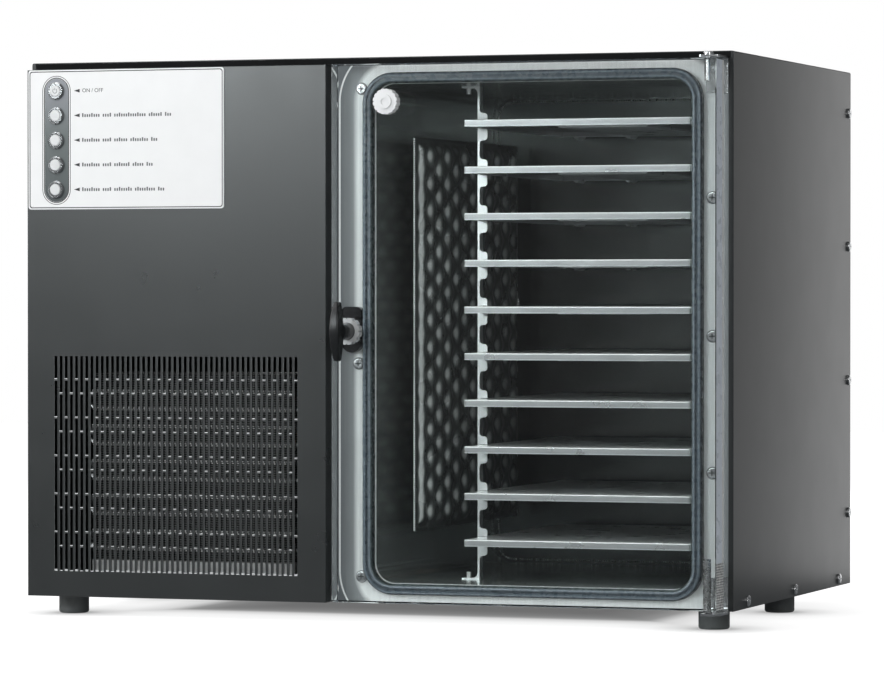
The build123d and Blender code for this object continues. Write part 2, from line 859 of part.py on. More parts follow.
def comb(root_x, back_x, side, front_face, has_feet):
    """A folded comb: a web along the depth, and lugs with slots that hold the shelves' side flanges.

    root_x is where the slots end and back_x is the comb's back edge; side is +1 where the lugs point
    to +X.  A comb with feet stands between the chamber's floor and roof, on the side away from its
    lugs; one without stands on the chamber's wall and stops at the wall's corners.
    """
    end_gap = 0 if has_feet else chamber_r
    ends = (chamber_z0 + end_gap, chamber_z1 - end_gap)
    lug_x = root_x + side * comb_lug
    with BuildPart() as rail:
        with BuildSketch(Plane.XZ.offset(-front_face)) as outline:
            with Locations(((back_x + root_x) / 2, chamber_mid_z)):
                Rectangle(abs(root_x - back_x), ends[1] - ends[0])
            for top in shelf_tops:
                with Locations(((back_x + lug_x) / 2, top + (comb_above - comb_below) / 2)):
                    Rectangle(abs(lug_x - back_x), comb_above + comb_below)
            inner = [v for v in outline.vertices() if abs(v.X - root_x) < 0.01]
            roots = [v for v in inner if min(abs(v.Y - end) for end in ends) > 0.01]
            tips = [v for v in outline.vertices() if abs(v.X - lug_x) < 0.01]
            fillet(roots + tips, comb_r)
            for top in shelf_tops:
                with Locations(((root_x + lug_x + side) / 2, top + (comb_slot_air - shelf_lip_h) / 2)):
                    Rectangle(comb_lug + 1, shelf_lip_h + comb_slot_air, mode=Mode.SUBTRACT)
        extrude(outline.sketch, amount=-comb_t)
        web_x = sorted((back_x, back_x + side * comb_t))
        block(web_x, (front_face, front_face + comb_web), ends)
        if has_feet:
            foot_x = sorted((back_x - side * comb_foot, back_x + side * comb_t))
            for z0 in (chamber_z0, chamber_z1 - comb_t):
                block(foot_x, (front_face, front_face + comb_web), (z0, z0 + comb_t))
            bend_x = back_x - side * comb_bend_r
            for z0, rise in ((chamber_z0 + comb_t, 1), (chamber_z1 - comb_t, -1)):
                z1 = z0 + rise * comb_bend_r
                with BuildSketch(Plane.XZ.offset(-front_face)) as bend:
                    with Locations(((bend_x + back_x) / 2, (z0 + z1) / 2)):
                        Rectangle(comb_bend_r, comb_bend_r)
                    with Locations((bend_x, z1)):
                        Circle(comb_bend_r, mode=Mode.SUBTRACT)
                extrude(bend.sketch, amount=-comb_web)
                stud_x = back_x - side * (comb_foot + comb_bend_r) / 2
                nut_z = sorted((z0, z0 + rise * comb_nut_h))
                rod_z(stud_x, front_face + comb_web / 2, comb_stud_d / 2, *nut_z)
    return rail.part


left_root = shelf_x0 - comb_side_air
right_root = shelf_x1 + comb_side_air
save(comb(left_root, left_root - comb_stem, 1, front(comb_front_y), True), "rail_front_left")
save(comb(right_root, chamber_x1, -1, front(comb_front_y), False), "rail_front_right")
save(comb(right_root, chamber_x1, -1, front(comb_rear_y), False), "rail_rear_right")

# ---------------------------------------------------------------- ice condenser

ice_cx = chamber_x0 + ice_x
ice_y = (front(ice_front), front(ice_front + ice_d))
ice_z = (base(chamber_floor + ice_bottom), base(chamber_floor + ice_bottom + ice_h))
ice_mid_y = sum(ice_y) / 2
ice_mid_z = sum(ice_z) / 2
ice_columns = int((ice_d - 2 * ice_seam) / ice_pitch_y)
ice_rows = int((ice_h - 2 * ice_seam) / ice_pitch_z)
boss_x = ice_cx - ice_t / 2 - ice_boss_h

with BuildPart() as dimple:
    with BuildSketch(Plane.YZ.offset(ice_t / 2)) as dimple_rim:
        RegularPolygon(ice_dimple_r, 6)
    with BuildSketch(Plane.YZ.offset(ice_t / 2 - ice_dimple_depth)) as dimple_floor:
        RegularPolygon(ice_dimple_floor_r, 6)
    loft()

with BuildPart() as ice_condenser:
    block((ice_cx - ice_t / 2, ice_cx + ice_t / 2), ice_y, ice_z)
    rims = ice_condenser.edges().filter_by(lambda e: abs(abs(e.center().X - ice_cx) - ice_t / 2) < 0.01)
    chamfer(rims, ice_chamfer)
    for turn in (0, 180):
        with Locations(Location((ice_cx, ice_mid_y, ice_mid_z), (0, 0, turn))):
            for columns, rows in ((ice_columns, ice_rows), (ice_columns - 1, ice_rows - 1)):
                spots = [
                    Location((0, (c - (columns - 1) / 2) * ice_pitch_y, (r - (rows - 1) / 2) * ice_pitch_z))
                    for c in range(columns)
                    for r in range(rows)
                ]
                with Locations(spots):
                    add(dimple.part, mode=Mode.SUBTRACT)
    for y in ice_post_y:
        for z in ice_post_z:
            rod_x(ice_y[0] + y, ice_z[0] + z, ice_post_d / 2, chamber_x0, ice_cx)
    for y, z in (suction_hole, inject_hole):
        rod_x(y, z, ice_boss_d / 2, boss_x, ice_cx)
save(ice_condenser.part, "ice_condenser")

# ---------------------------------------------------------------- door

with BuildPart() as door_plate:
    block((door_x0, door_x1), (door_y0, door_y1), (door_z0, door_z1))
    chamfer(door_plate.edges(), door_chamfer)
    through_door = (door_y0 - 1, door_y1 + 1)
    rod_y(latch_cx, latch_cz, latch_spindle_d / 2 + latch_run, *through_door, Mode.SUBTRACT)
    rod_y(vent_cx, vent_cz, vent_stem_d / 2 + vent_run, *through_door, Mode.SUBTRACT)
    rod_z(pin_x, pin_y, pin_hole_r, door_z1 - hinge_top_depth, door_z1 + 1, Mode.SUBTRACT)
    rod_z(pin_x, pin_y, hinge_stud_d / 2, door_z0 - 1, door_z0 + hinge_stud_len, Mode.SUBTRACT)
save(door_plate.part, "door_plate")

# ---------------------------------------------------------------- hinges

with BuildPart() as hinge_bracket_top:
    block((hinge_x0, hinge_x1), (door_y0, flange_y), (hinge_top_z, hinge_top_z + hinge_t))
    block((hinge_x0, hinge_x1), (leg_y, flange_y), (hinge_top_z + hinge_t - hinge_leg, hinge_top_z + hinge_t))
    fillet(hinge_bracket_top.edges().filter_by(Axis.Z).group_by(Axis.Y)[0], hinge_t)
    rod_z(pin_x, pin_y, pin_hole_r, hinge_top_z - 1, hinge_top_z + hinge_t + 1, Mode.SUBTRACT)
    rod_y(*hinge_screws[1], screw_hole_r, leg_y - 1, flange_y + 1, Mode.SUBTRACT)
save(hinge_bracket_top.part, "hinge_bracket_top")

with BuildPart() as hinge_bracket_bottom:
    block((hinge_x0, hinge_x1), (door_y0, flange_y), (hinge_bottom_z, hinge_bottom_z + hinge_t))
    block((hinge_x0, hinge_x1), (leg_y, flange_y), (hinge_bottom_z, hinge_bottom_z + hinge_leg))
    chamfer(hinge_bracket_bottom.edges().filter_by(Axis.Z).sort_by(Axis.Y)[:2], hinge_corner)
    rod_z(pin_x, pin_y, pin_hole_r, hinge_bottom_z - 1, hinge_bottom_z + hinge_t + 1, Mode.SUBTRACT)
    rod_y(*hinge_screws[0], screw_hole_r, leg_y - 1, flange_y + 1, Mode.SUBTRACT)
save(hinge_bracket_bottom.part, "hinge_bracket_bottom")

with BuildPart() as hinge_pin_top:
    head_z = hinge_top_z + hinge_t
    rod_z(pin_x, pin_y, hinge_head_d / 2, head_z, head_z + hinge_head_h)
    fillet(hinge_pin_top.edges().filter_by(GeomType.CIRCLE).sort_by(Axis.Z)[-1], hinge_head_h / 3)
    rod_z(pin_x, pin_y, hinge_pin_d / 2, door_z1 - hinge_top_depth + 1, head_z)
save(hinge_pin_top.part, "hinge_pin_top")

with BuildPart() as hinge_pin_bottom:
    shoulder_z = hinge_bottom_z + hinge_t + hinge_shoulder_gap
    rod_z(pin_x, pin_y, hinge_stud_d / 2, shoulder_z, door_z0 + hinge_stud_len)
    rod_z(pin_x, pin_y, hinge_pin_d / 2, hinge_bottom_z, shoulder_z)
save(hinge_pin_bottom.part, "hinge_pin_bottom")

# ---------------------------------------------------------------- latch

grip_y0 = front(-latch_reach)
grip_y1 = grip_y0 + latch_grip_t
hub_y1 = door_y0 - latch_hub_gap
cam_y0 = door_y1 + latch_cam_gap
cam_y1 = cam_y0 + latch_cam_t

with BuildPart() as latch_rosette:
    rod_y(latch_cx, latch_cz, latch_rosette_d / 2, door_y0 - latch_rosette_len, door_y0)
    with Locations(Location((latch_cx, door_y0 - latch_rosette_len / 2, latch_cz), (90, 0, 0))):
        with PolarLocations(latch_rosette_d / 2, latch_rosette_grooves):
            Cylinder(latch_groove_r, latch_rosette_len + 2, mode=Mode.SUBTRACT)
    rod_y(
        latch_cx,
        latch_cz,
        latch_hub_d / 2 + latch_hub_gap,
        door_y0 - latch_rosette_len - 1,
        door_y0 + 1,
        Mode.SUBTRACT,
    )
save(latch_rosette.part, "latch_rosette")

with BuildPart() as latch_handle:
    with BuildSketch(Plane.XZ.offset(-grip_y1)) as grip_outline:
        with BuildLine():
            sides = []
            for side in (-1, 1):
                tip_x = latch_cx + side * latch_grip_tip_w / 2
                low = (tip_x, latch_cz - latch_grip_len / 2)
                high = (tip_x, latch_cz + latch_grip_len / 2)
                sides.append(ThreePointArc(low, (latch_cx + side * latch_grip_w / 2, latch_cz), high))
            for end in (0, 1):
                Line(sides[0] @ end, sides[1] @ end)
        make_face()
        fillet(grip_outline.vertices(), latch_grip_tip_r)
    extrude(grip_outline.sketch, amount=latch_grip_t)
    with BuildSketch(Plane.YZ.offset(latch_cx - latch_grip_w)) as grip_side:
        with BuildLine():
            tip_y = grip_y1 - latch_grip_tip_t
            low_z = latch_cz - latch_grip_len / 2 - 1
            high_z = latch_cz + latch_grip_len / 2 + 1
            ThreePointArc((tip_y, low_z), (grip_y0, latch_cz), (tip_y, high_z))
            Line((tip_y, high_z), (grip_y1, high_z))
            Line((grip_y1, high_z), (grip_y1, low_z))
            Line((grip_y1, low_z), (tip_y, low_z))
        make_face()
    extrude(grip_side.sketch, amount=2 * latch_grip_w, mode=Mode.INTERSECT)
    fillet(latch_handle.faces().sort_by(Axis.Y)[0].edges(), latch_grip_r)
    rod_y(latch_cx, latch_cz, latch_hub_d / 2, grip_y1 - latch_grip_r, hub_y1)
    rod_y(latch_cx, latch_cz, latch_spindle_d / 2, hub_y1 - latch_socket, hub_y1 + 1, Mode.SUBTRACT)
save(latch_handle.part, "latch_handle")

with BuildPart() as latch_spindle:
    rod_y(latch_cx, latch_cz, latch_spindle_d / 2, hub_y1 - latch_socket, cam_y1)
    block(
        (latch_cx - latch_cam_len, latch_cx),
        (cam_y0, cam_y1),
        (latch_cz - latch_cam_w / 2, latch_cz + latch_cam_w / 2),
    )
    rod_y(latch_cx, latch_cz, latch_cam_hub_r, cam_y0, cam_y1)
save(latch_spindle.part, "latch_spindle")

keeper_x0 = left(keeper_x)
keeper_mid = keeper_x0 + keeper_w / 2
with BuildPart() as latch_keeper:
    with BuildSketch(Plane.XZ.offset(-flange_y)) as keeper_outline:
        with Locations((keeper_mid, latch_cz + (keeper_top - keeper_bottom) / 2)):
            Rectangle(keeper_w, keeper_top + keeper_bottom)
        with Locations((keeper_mid, latch_cz - keeper_bottom)):
            Circle(keeper_w / 2)
        fillet(keeper_outline.vertices().group_by(Axis.Y)[-1], keeper_r)
    extrude(keeper_outline.sketch, amount=keeper_depth)
    recess_y = (flange_y - keeper_depth - 1, flange_y - keeper_floor)
    rod_y(latch_cx, latch_cz, keeper_recess_r, *recess_y, Mode.SUBTRACT)
save(latch_keeper.part, "latch_keeper")

# ---------------------------------------------------------------- vent valve

vent_y1 = door_y0 - vent_gap
vent_y0 = vent_y1 - vent_len
with BuildPart() as vent_knob:
    rod_y(vent_cx, vent_cz, vent_d / 2, vent_y0 + vent_hub_h, vent_y1)
    with Locations(Location((vent_cx, (vent_y0 + vent_y1) / 2, vent_cz), (90, 0, 0))):
        with PolarLocations(vent_d / 2, vent_grips):
            Cylinder(vent_grip_r, vent_len + 2, mode=Mode.SUBTRACT)
    rod_y(vent_cx, vent_cz, vent_hub_d / 2, vent_y0, vent_y0 + vent_hub_h)
    rod_y(vent_cx, vent_cz, vent_hub_d / 4, vent_y0 - 1, vent_y0 + vent_hub_h / 2, Mode.SUBTRACT)
    rod_y(vent_cx, vent_cz, vent_stem_d / 2, vent_y1, door_y1 + vent_stem_air)
save(vent_knob.part, "vent_knob")

# ---------------------------------------------------------------- control plate and buttons

plate_y = fascia_y - plate_t
strip_y = plate_y + strip_depth
bezel_y = strip_y - bezel_h
cap_y0 = bezel_y - button_proud
cap_y1 = cap_y0 + button_len
bore_y1 = cap_y1 + button_travel + button_room

with BuildPart() as control_plate:
    with BuildSketch(Plane.XZ.offset(-fascia_y)) as plate_outline:
        with Locations((left(plate_x + plate_w / 2), base(plate_z + plate_h / 2))):
            RectangleRounded(plate_w, plate_h, plate_r)
    extrude(plate_outline.sketch, amount=plate_t)
    with BuildSketch(Plane.XZ.offset(-strip_y)) as strip_outline:
        with Locations((left(strip_x), base(strip_z))):
            SlotOverall(strip_h, strip_w, rotation=90)
    extrude(strip_outline.sketch, amount=plate_t, mode=Mode.SUBTRACT)
    for x, z in button_places:
        rod_y(x, z, barrel_d / 2 + barrel_clear, plate_y - 1, fascia_y + 1, Mode.SUBTRACT)
save(control_plate.part, "control_plate")

with BuildPart() as button_housings:
    for x, z in button_places:
        rod_y(x, z, bezel_d / 2, bezel_y, strip_y)
    chamfer(button_housings.faces().group_by(Axis.Y)[0].edges(), bezel_bevel)
    for x, z in button_places:
        rod_y(x, z, barrel_d / 2, strip_y, barrel_back)
        rod_y(x, z, button_d / 2 + button_gap, bezel_y - 1, bore_y1, Mode.SUBTRACT)
save(button_housings.part, "button_housings")

for name, (x, z) in zip(button_names, button_places):
    with BuildPart() as button:
        rod_y(x, z, button_d / 2, cap_y0, cap_y1)
        chamfer(button.faces().sort_by(Axis.Y)[0].edges(), button_edge)
    save(button.part, f"button_{name}")

# relay, transformer and terminal blocks soldered to the board: x, z, width, height, depth
board_blocks = (
    (30.0, 80.0, 34.0, 30.0, 28.0),
    (84.0, 90.0, 28.0, 16.0, 15.0),
    (120.0, 90.0, 28.0, 16.0, 15.0),
    (84.0, 62.0, 28.0, 16.0, 15.0),
    (120.0, 62.0, 28.0, 16.0, 15.0),
    (60.0, 16.0, 90.0, 10.0, 12.0),
)
board_y1 = barrel_back + board_t
with BuildPart() as control_board:
    block(
        (left(board_x), left(board_x + board_w)),
        (barrel_back, board_y1),
        (base(board_z), base(board_z + board_h)),
    )
    for x, z, w, h, d in board_blocks:
        block(
            (left(board_x + x), left(board_x + x + w)),
            (board_y1, board_y1 + d),
            (base(board_z + z), base(board_z + z + h)),
        )
save(control_board.part, "control_board")

# ---------------------------------------------------------------- compressor

comp_plate_z = tray_floor + grommet_h
comp_z0 = comp_plate_z + comp_plate_t
comp_z1 = comp_z0 + comp_h
comp_face_x = comp_cx + comp_r + comp_port_len
comp_ports = ((front(suction_y), base(suction_comp_z)), (front(discharge_y), base(discharge_z)))

with BuildPart() as compressor:
    rod_z(comp_cx, comp_cy, comp_r, comp_z0, comp_z1)
    fillet(compressor.edges().filter_by(GeomType.CIRCLE).sort_by(Axis.Z)[-1], comp_dome)
    fillet(compressor.edges().filter_by(GeomType.CIRCLE).sort_by(Axis.Z)[0], comp_edge_r)
    rod_z(
        comp_cx,
        comp_cy,
        comp_r + comp_weld_r,
        (comp_z0 + comp_z1 - comp_weld_h) / 2,
        (comp_z0 + comp_z1 + comp_weld_h) / 2,
    )
    block(
        (comp_cx - comp_plate_w / 2, comp_cx + comp_plate_w / 2),
        (comp_cy - comp_plate_d / 2, comp_cy + comp_plate_d / 2),
        (comp_plate_z, comp_z0),
    )
    fillet(compressor.edges().filter_by(Axis.Z).group_by(Axis.Z)[0], comp_foot_inset / 2)
    for x, y in grommet_places:
        rod_z(x, y, grommet_bolt_d / 2 + screw_clear, comp_plate_z - 1, comp_z0 + 1, Mode.SUBTRACT)
    for y, z in comp_ports:
        rod_x(y, z, comp_port_r, comp_cx, comp_face_x)
    block(
        (comp_cx - comp_box_w / 2, comp_cx + comp_box_w / 2),
        (comp_cy - comp_r - comp_port_len, comp_cy),
        (comp_z0 + comp_edge_r, comp_z0 + comp_edge_r + comp_box_h),
    )
save(compressor.part, "compressor")

with BuildPart() as compressor_grommets:
    for x, y in grommet_places:
        rod_z(x, y, grommet_d / 2, tray_floor, comp_plate_z)
        rod_z(x, y, grommet_bolt_d / 2, base(0), comp_z0 + grommet_head_h)
        rod_z(x, y, grommet_bolt_d, comp_z0, comp_z0 + grommet_head_h)
save(compressor_grommets.part, "compressor_grommets")

# ---------------------------------------------------------------- refrigerant pipes


def pipe(points, radius, bend=pipe_bend):
    """A round bar swept along a path with rounded corners."""
    with BuildPart() as run:
        with BuildLine() as path:
            FilletPolyline(*points, radius=bend)
        with BuildSketch(Plane(origin=path.line @ 0, z_dir=path.line % 0)) as section:
            Circle(radius)
        sweep(section.sketch, path=path.line)
    return run.part


coil_tube_z = [base(coil_low_z + n * coil_pitch) for n in range(coil_rows)]
bank_y = [front(coil_front + coil_d * (n + 0.5) / coil_banks) for n in range(coil_banks)]
coil_x0 = left(coil_x)
coil_x1 = left(coil_x + coil_w)
coil_stub_x = coil_x1 + coil_stub
coil_header_x = coil_stub_x - coil_header_inset

save(
    pipe(
        [
            (boss_x, *suction_hole),
            (left(suction_x), *suction_hole),
            (left(suction_x), front(suction_y), base(suction_comp_z)),
            (comp_face_x, *comp_ports[0]),
        ],
        pipe_r,
    ),
    "suction_pipe",
)

save(
    pipe(
        [
            (comp_face_x, *comp_ports[1]),
            (left(discharge_x), *comp_ports[1]),
            (left(discharge_x), bank_y[-1], base(discharge_z)),
            (left(discharge_x), bank_y[-1], coil_tube_z[-1]),
            (coil_stub_x, bank_y[-1], coil_tube_z[-1]),
        ],
        pipe_r,
    ),
    "discharge_pipe",
)

drier_cx = left(drier_x)
drier_cy = front(drier_y)
drier_z0 = base(drier_z - drier_len / 2)
drier_z1 = drier_z0 + drier_len
save(
    pipe(
        [
            (boss_x, *inject_hole),
            (drier_cx, *inject_hole),
            (drier_cx, drier_cy, base(inject_z)),
            (drier_cx, drier_cy, drier_z0 - drier_neck),
        ],
        capillary_r,
    ),
    "injection_pipe",
)

liquid_line = pipe(
    [
        (coil_stub_x, bank_y[0], coil_tube_z[0]),
        (drier_cx, bank_y[0], coil_tube_z[0]),
        (drier_cx, bank_y[0], drier_z1 + drier_rise),
        (drier_cx, drier_cy, drier_z1 + drier_rise),
        (drier_cx, drier_cy, drier_z1),
    ],
    pipe_r,
)
with BuildPart() as filter_drier:
    rod_z(drier_cx, drier_cy, drier_r, drier_z0, drier_z1)
    fillet(filter_drier.edges().filter_by(GeomType.CIRCLE), drier_r / 2)
    rod_z(drier_cx, drier_cy, pipe_r, drier_z0 - drier_neck, drier_z0 + 1)
    clip_z = (base(drier_z - clip_h / 2), base(drier_z + clip_h / 2))
    rod_z(drier_cx, drier_cy, drier_r + clip_t, *clip_z)
    block((drier_cx, divider_x0), (drier_cy - clip_w / 2, drier_cy + clip_w / 2), clip_z)
    add(liquid_line)
save(filter_drier.part, "filter_drier")

# ---------------------------------------------------------------- condenser coil

coil_fin_x = (coil_x0 + coil_bend, coil_x1 - coil_bend)
coil_y = (front(coil_front), front(coil_front + coil_d))
coil_block_z = (coil_tube_z[0] - coil_pitch / 2, coil_tube_z[-1] + coil_top_fin)
coil_frame = (base(coil_frame_z), base(coil_frame_z + coil_frame_h))
coil_frame_y = (coil_y[0] - coil_frame_lap, coil_y[1] + coil_frame_lap)
coil_mid = (sum(coil_fin_x) / 2, sum(coil_block_z) / 2)
fin_count = int((coil_fin_x[1] - coil_fin_x[0]) / coil_fin_pitch)

header_y = (bank_y[0] - coil_header_over, bank_y[-1] + coil_header_over)

with BuildPart() as condenser_coil:
    block(coil_fin_x, coil_y, coil_block_z)
    for y in coil_y:
        with Locations((coil_mid[0], y, coil_mid[1])):
            with GridLocations(coil_fin_pitch, 1, fin_count, 1):
                Box(
                    coil_fin_groove,
                    2 * coil_groove_depth,
                    coil_block_z[1] - coil_block_z[0] + 2,
                    mode=Mode.SUBTRACT,
                )
    for y in bank_y:
        for n, z in enumerate(coil_tube_z[:-1]):
            bend_x = coil_fin_x[1] if n % 2 else coil_fin_x[0]
            with Locations((bend_x, y, z + coil_pitch / 2)):
                Torus(coil_pitch / 2, coil_tube_d / 2, rotation=(90, 0, 0))
    for z, joined_y in ((coil_tube_z[0], bank_y[0]), (coil_tube_z[-1], bank_y[-1])):
        for y in bank_y:
            rod_x(y, z, pipe_r, coil_fin_x[1], coil_stub_x if y == joined_y else coil_header_x)
        rod_y(coil_header_x, z, coil_header_d / 2, *header_y)
    block(coil_fin_x, coil_frame_y, coil_frame)
    block(coil_fin_x, coil_y, (coil_frame[0], coil_block_z[0]))
    for x0 in (coil_fin_x[0], coil_fin_x[1] - coil_leg_w):
        block((x0, x0 + coil_leg_w), coil_y, (tray_floor, coil_frame[0]))
save(condenser_coil.part, "condenser_coil")

# ---------------------------------------------------------------- fan, shroud and motor

fan_cx = left(fan_x)
fan_cz = base(fan_z)
shroud_y = (coil_frame_y[1], coil_frame_y[1] + shroud_depth)
shroud_box_z = (base(shroud_z), base(shroud_z + shroud_h))
ring_y1 = shroud_y[1] + fan_ring_len
motor_y = (ring_y1 + motor_arm_t, ring_y1 + motor_arm_t + motor_len)
rotor_y = (ring_y1 - motor_gap - fan_len, ring_y1 - motor_gap)

with BuildPart() as fan_shroud:
    block(coil_fin_x, shroud_y, shroud_box_z)
    block(
        (coil_fin_x[0] + shroud_t, coil_fin_x[1] - shroud_t),
        (shroud_y[0] - 1, shroud_y[1] - shroud_t),
        (shroud_box_z[0] + shroud_t, shroud_box_z[1] - shroud_t),
        Mode.SUBTRACT,
    )
    rod_y(fan_cx, fan_cz, fan_ring_d / 2 + shroud_t, shroud_y[1] - shroud_t, ring_y1)
    rod_y(fan_cx, fan_cz, fan_ring_d / 2, shroud_y[1] - shroud_t - 1, ring_y1 + 1, Mode.SUBTRACT)
    for x0 in (coil_fin_x[0], coil_fin_x[1] - coil_leg_w):
        block((x0, x0 + coil_leg_w), shroud_y, (tray_floor, shroud_box_z[0]))
save(fan_shroud.part, "fan_shroud")

with BuildPart() as fan_motor:
    rod_y(fan_cx, fan_cz, motor_d / 2, *motor_y)
    fillet(fan_motor.faces().sort_by(Axis.Y)[-1].edges(), motor_edge_r)
    with Locations((fan_cx, ring_y1 + motor_arm_t / 2, fan_cz)):
        Box(fan_ring_d + 2 * shroud_t, motor_arm_t, motor_arm_w)
        Box(motor_arm_w, motor_arm_t, fan_ring_d + 2 * shroud_t)
    rod_y(fan_cx, fan_cz, fan_shaft_d / 2 + fan_run, ring_y1 - 1, motor_y[0] + motor_bore_len, Mode.SUBTRACT)
save(fan_motor.part, "fan_motor")

blade_len = (fan_d - fan_hub_d) / 2 + fan_root
with BuildPart() as fan_rotor:
    with Locations(Location((fan_cx, sum(rotor_y) / 2, fan_cz), (90, 0, 0))):
        Cylinder(fan_hub_d / 2, fan_len)
        with PolarLocations(fan_hub_d / 2 - fan_root + blade_len / 2, fan_blades):
            Box(blade_len, fan_blade_w, fan_blade_t, rotation=(fan_blade_pitch, 0, 0))
        Cylinder(fan_d / 2, fan_len, mode=Mode.INTERSECT)
    rod_y(fan_cx, fan_cz, fan_shaft_d / 2, rotor_y[1] - 1, motor_y[0] + motor_bore_len - fan_shaft_room)
save(fan_rotor.part, "fan_rotor")

# ---------------------------------------------------------------- connections at the back

with BuildPart() as mains_inlet:
    cx, cz = inlet_centre
    flange_range = (back_y, back_y + inlet_flange_t)
    block(
        (cx - (inlet_w - port_clear) / 2, cx + (inlet_w - port_clear) / 2),
        (flange_range[1] - inlet_depth, flange_range[1]),
        (cz - (inlet_h - port_clear) / 2, cz + (inlet_h - port_clear) / 2),
    )
    block(
        (cx - inlet_flange_w / 2, cx + inlet_flange_w / 2),
        flange_range,
        (cz - inlet_flange_h / 2, cz + inlet_flange_h / 2),
    )
    block(
        (cx - inlet_cavity_w / 2, cx + inlet_cavity_w / 2),
        (flange_range[1] - inlet_cavity_d, flange_range[1] + 1),
        (cz - inlet_cavity_h / 2, cz + inlet_cavity_h / 2),
        Mode.SUBTRACT,
    )
    for step, rise in ((-1, 0), (0, 1), (1, 0)):
        pin_cx = cx + step * inlet_pin_pitch
        pin_cz = cz + rise * inlet_pin_h - inlet_pin_h / 2
        block(
            (pin_cx - inlet_pin_w / 2, pin_cx + inlet_pin_w / 2),
            (flange_range[1] - inlet_cavity_d - 1, flange_range[1] - inlet_cavity_d + inlet_pin_len),
            (pin_cz - inlet_pin_h / 2, pin_cz + inlet_pin_h / 2),
        )
save(mains_inlet.part, "mains_inlet")

port_y1 = front(hood_d + port_reach)
with BuildPart() as vacuum_port:
    rod_y(*port_centre, port_tube_d / 2, chamber_outer_back, port_y1)
    rod_y(*port_centre, port_flange_d / 2, port_y1 - port_flange_t, port_y1)
    rim = vacuum_port.faces().filter_by(Axis.Y).sort_by(Axis.Y)[-2].edges().sort_by(SortBy.RADIUS)[-1]
    chamfer(rim, port_taper)
    rod_y(*port_centre, port_bore_d / 2, chamber_outer_back - 1, port_y1 + 1, Mode.SUBTRACT)
save(vacuum_port.part, "vacuum_port")

drain_y1 = front(hood_d + drain_reach)
with BuildPart() as drain_port:
    rod_y(*drain_centre, drain_tube_d / 2, chamber_outer_back, drain_y1)
    with BuildSketch(Plane.XZ.offset(-back_y)) as nut:
        with Locations(drain_centre):
            RegularPolygon(drain_nut_d / 2, 6, major_radius=False)
    extrude(nut.sketch, amount=-drain_nut_t)
    rod_y(*drain_centre, drain_bore_d / 2, chamber_outer_back - 1, drain_y1 + 1, Mode.SUBTRACT)
save(drain_port.part, "drain_port")

# ---------------------------------------------------------------- screws


def screw(seat, turn):
    """A pan-head screw whose head stands on the seat point; its shank runs along local -Z."""
    with BuildPart() as one:
        rod_z(0, 0, screw_head_d / 2, 0, screw_head_h)
        fillet(one.edges().filter_by(GeomType.CIRCLE).sort_by(Axis.Z)[-1], screw_dome)
        rod_z(0, 0, screw_d / 2, -screw_len, 0)
        with Locations((0, 0, screw_head_h)):
            Box(screw_slot_len, screw_slot_w, 2 * screw_slot_depth, mode=Mode.SUBTRACT)
            Box(screw_slot_w, screw_slot_len, 2 * screw_slot_depth, mode=Mode.SUBTRACT)
    return one.part.moved(Location(seat, turn))


to_left = (0, -90, 0)
to_right = (0, 90, 0)
to_front = (90, 0, 0)
screws = [screw((left_x, y, z), to_left) for y, z in side_holes]
screws += [screw((right_x, y, z), to_right) for y, z in side_holes]
screws += [screw((x, flange_y, z), to_front) for x, z in left_screws + right_screws]
screws += [screw((x, leg_y, z), to_front) for x, z in hinge_screws]
panel_screws = Compound(children=screws)
save(panel_screws, "panel_screws")
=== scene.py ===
"""Looks for the bench-top freeze dryer.

Materials, printed marks, the dimpled cold plate, welds, trim, the finned coil, stage, lamps and camera.
Lengths are in metres, and MM turns millimetres into them.
"""

import json
from math import cos, exp, pi, radians, sin

import bmesh
import bpy
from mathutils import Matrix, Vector


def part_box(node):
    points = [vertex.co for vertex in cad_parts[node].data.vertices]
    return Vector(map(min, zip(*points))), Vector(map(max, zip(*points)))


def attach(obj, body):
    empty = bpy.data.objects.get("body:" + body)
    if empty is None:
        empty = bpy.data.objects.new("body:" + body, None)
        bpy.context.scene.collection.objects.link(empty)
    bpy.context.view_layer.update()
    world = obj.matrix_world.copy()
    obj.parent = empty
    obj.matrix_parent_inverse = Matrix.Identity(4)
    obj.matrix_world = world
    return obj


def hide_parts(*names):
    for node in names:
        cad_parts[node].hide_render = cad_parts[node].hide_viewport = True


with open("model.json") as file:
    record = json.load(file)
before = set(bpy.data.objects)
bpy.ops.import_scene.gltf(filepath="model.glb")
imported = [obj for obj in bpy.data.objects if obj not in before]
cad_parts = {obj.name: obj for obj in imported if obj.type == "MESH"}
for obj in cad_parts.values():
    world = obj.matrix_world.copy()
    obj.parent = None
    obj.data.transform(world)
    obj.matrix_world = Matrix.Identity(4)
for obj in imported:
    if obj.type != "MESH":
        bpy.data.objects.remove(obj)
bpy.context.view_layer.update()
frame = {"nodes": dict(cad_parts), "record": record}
nodes = frame["nodes"]
MM = 0.001

hood_low, hood_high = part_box("hood")
seal_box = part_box("door_seal")
SEAL_R = 31.2 * MM
SEAL_W = 11.2 * MM
SHELF_PITCH = 46.78 * MM
SHELF_LIP = 7.0 * MM
FOOT_R = 15.0 * MM


# ---------------------------------------------------------------- node trees


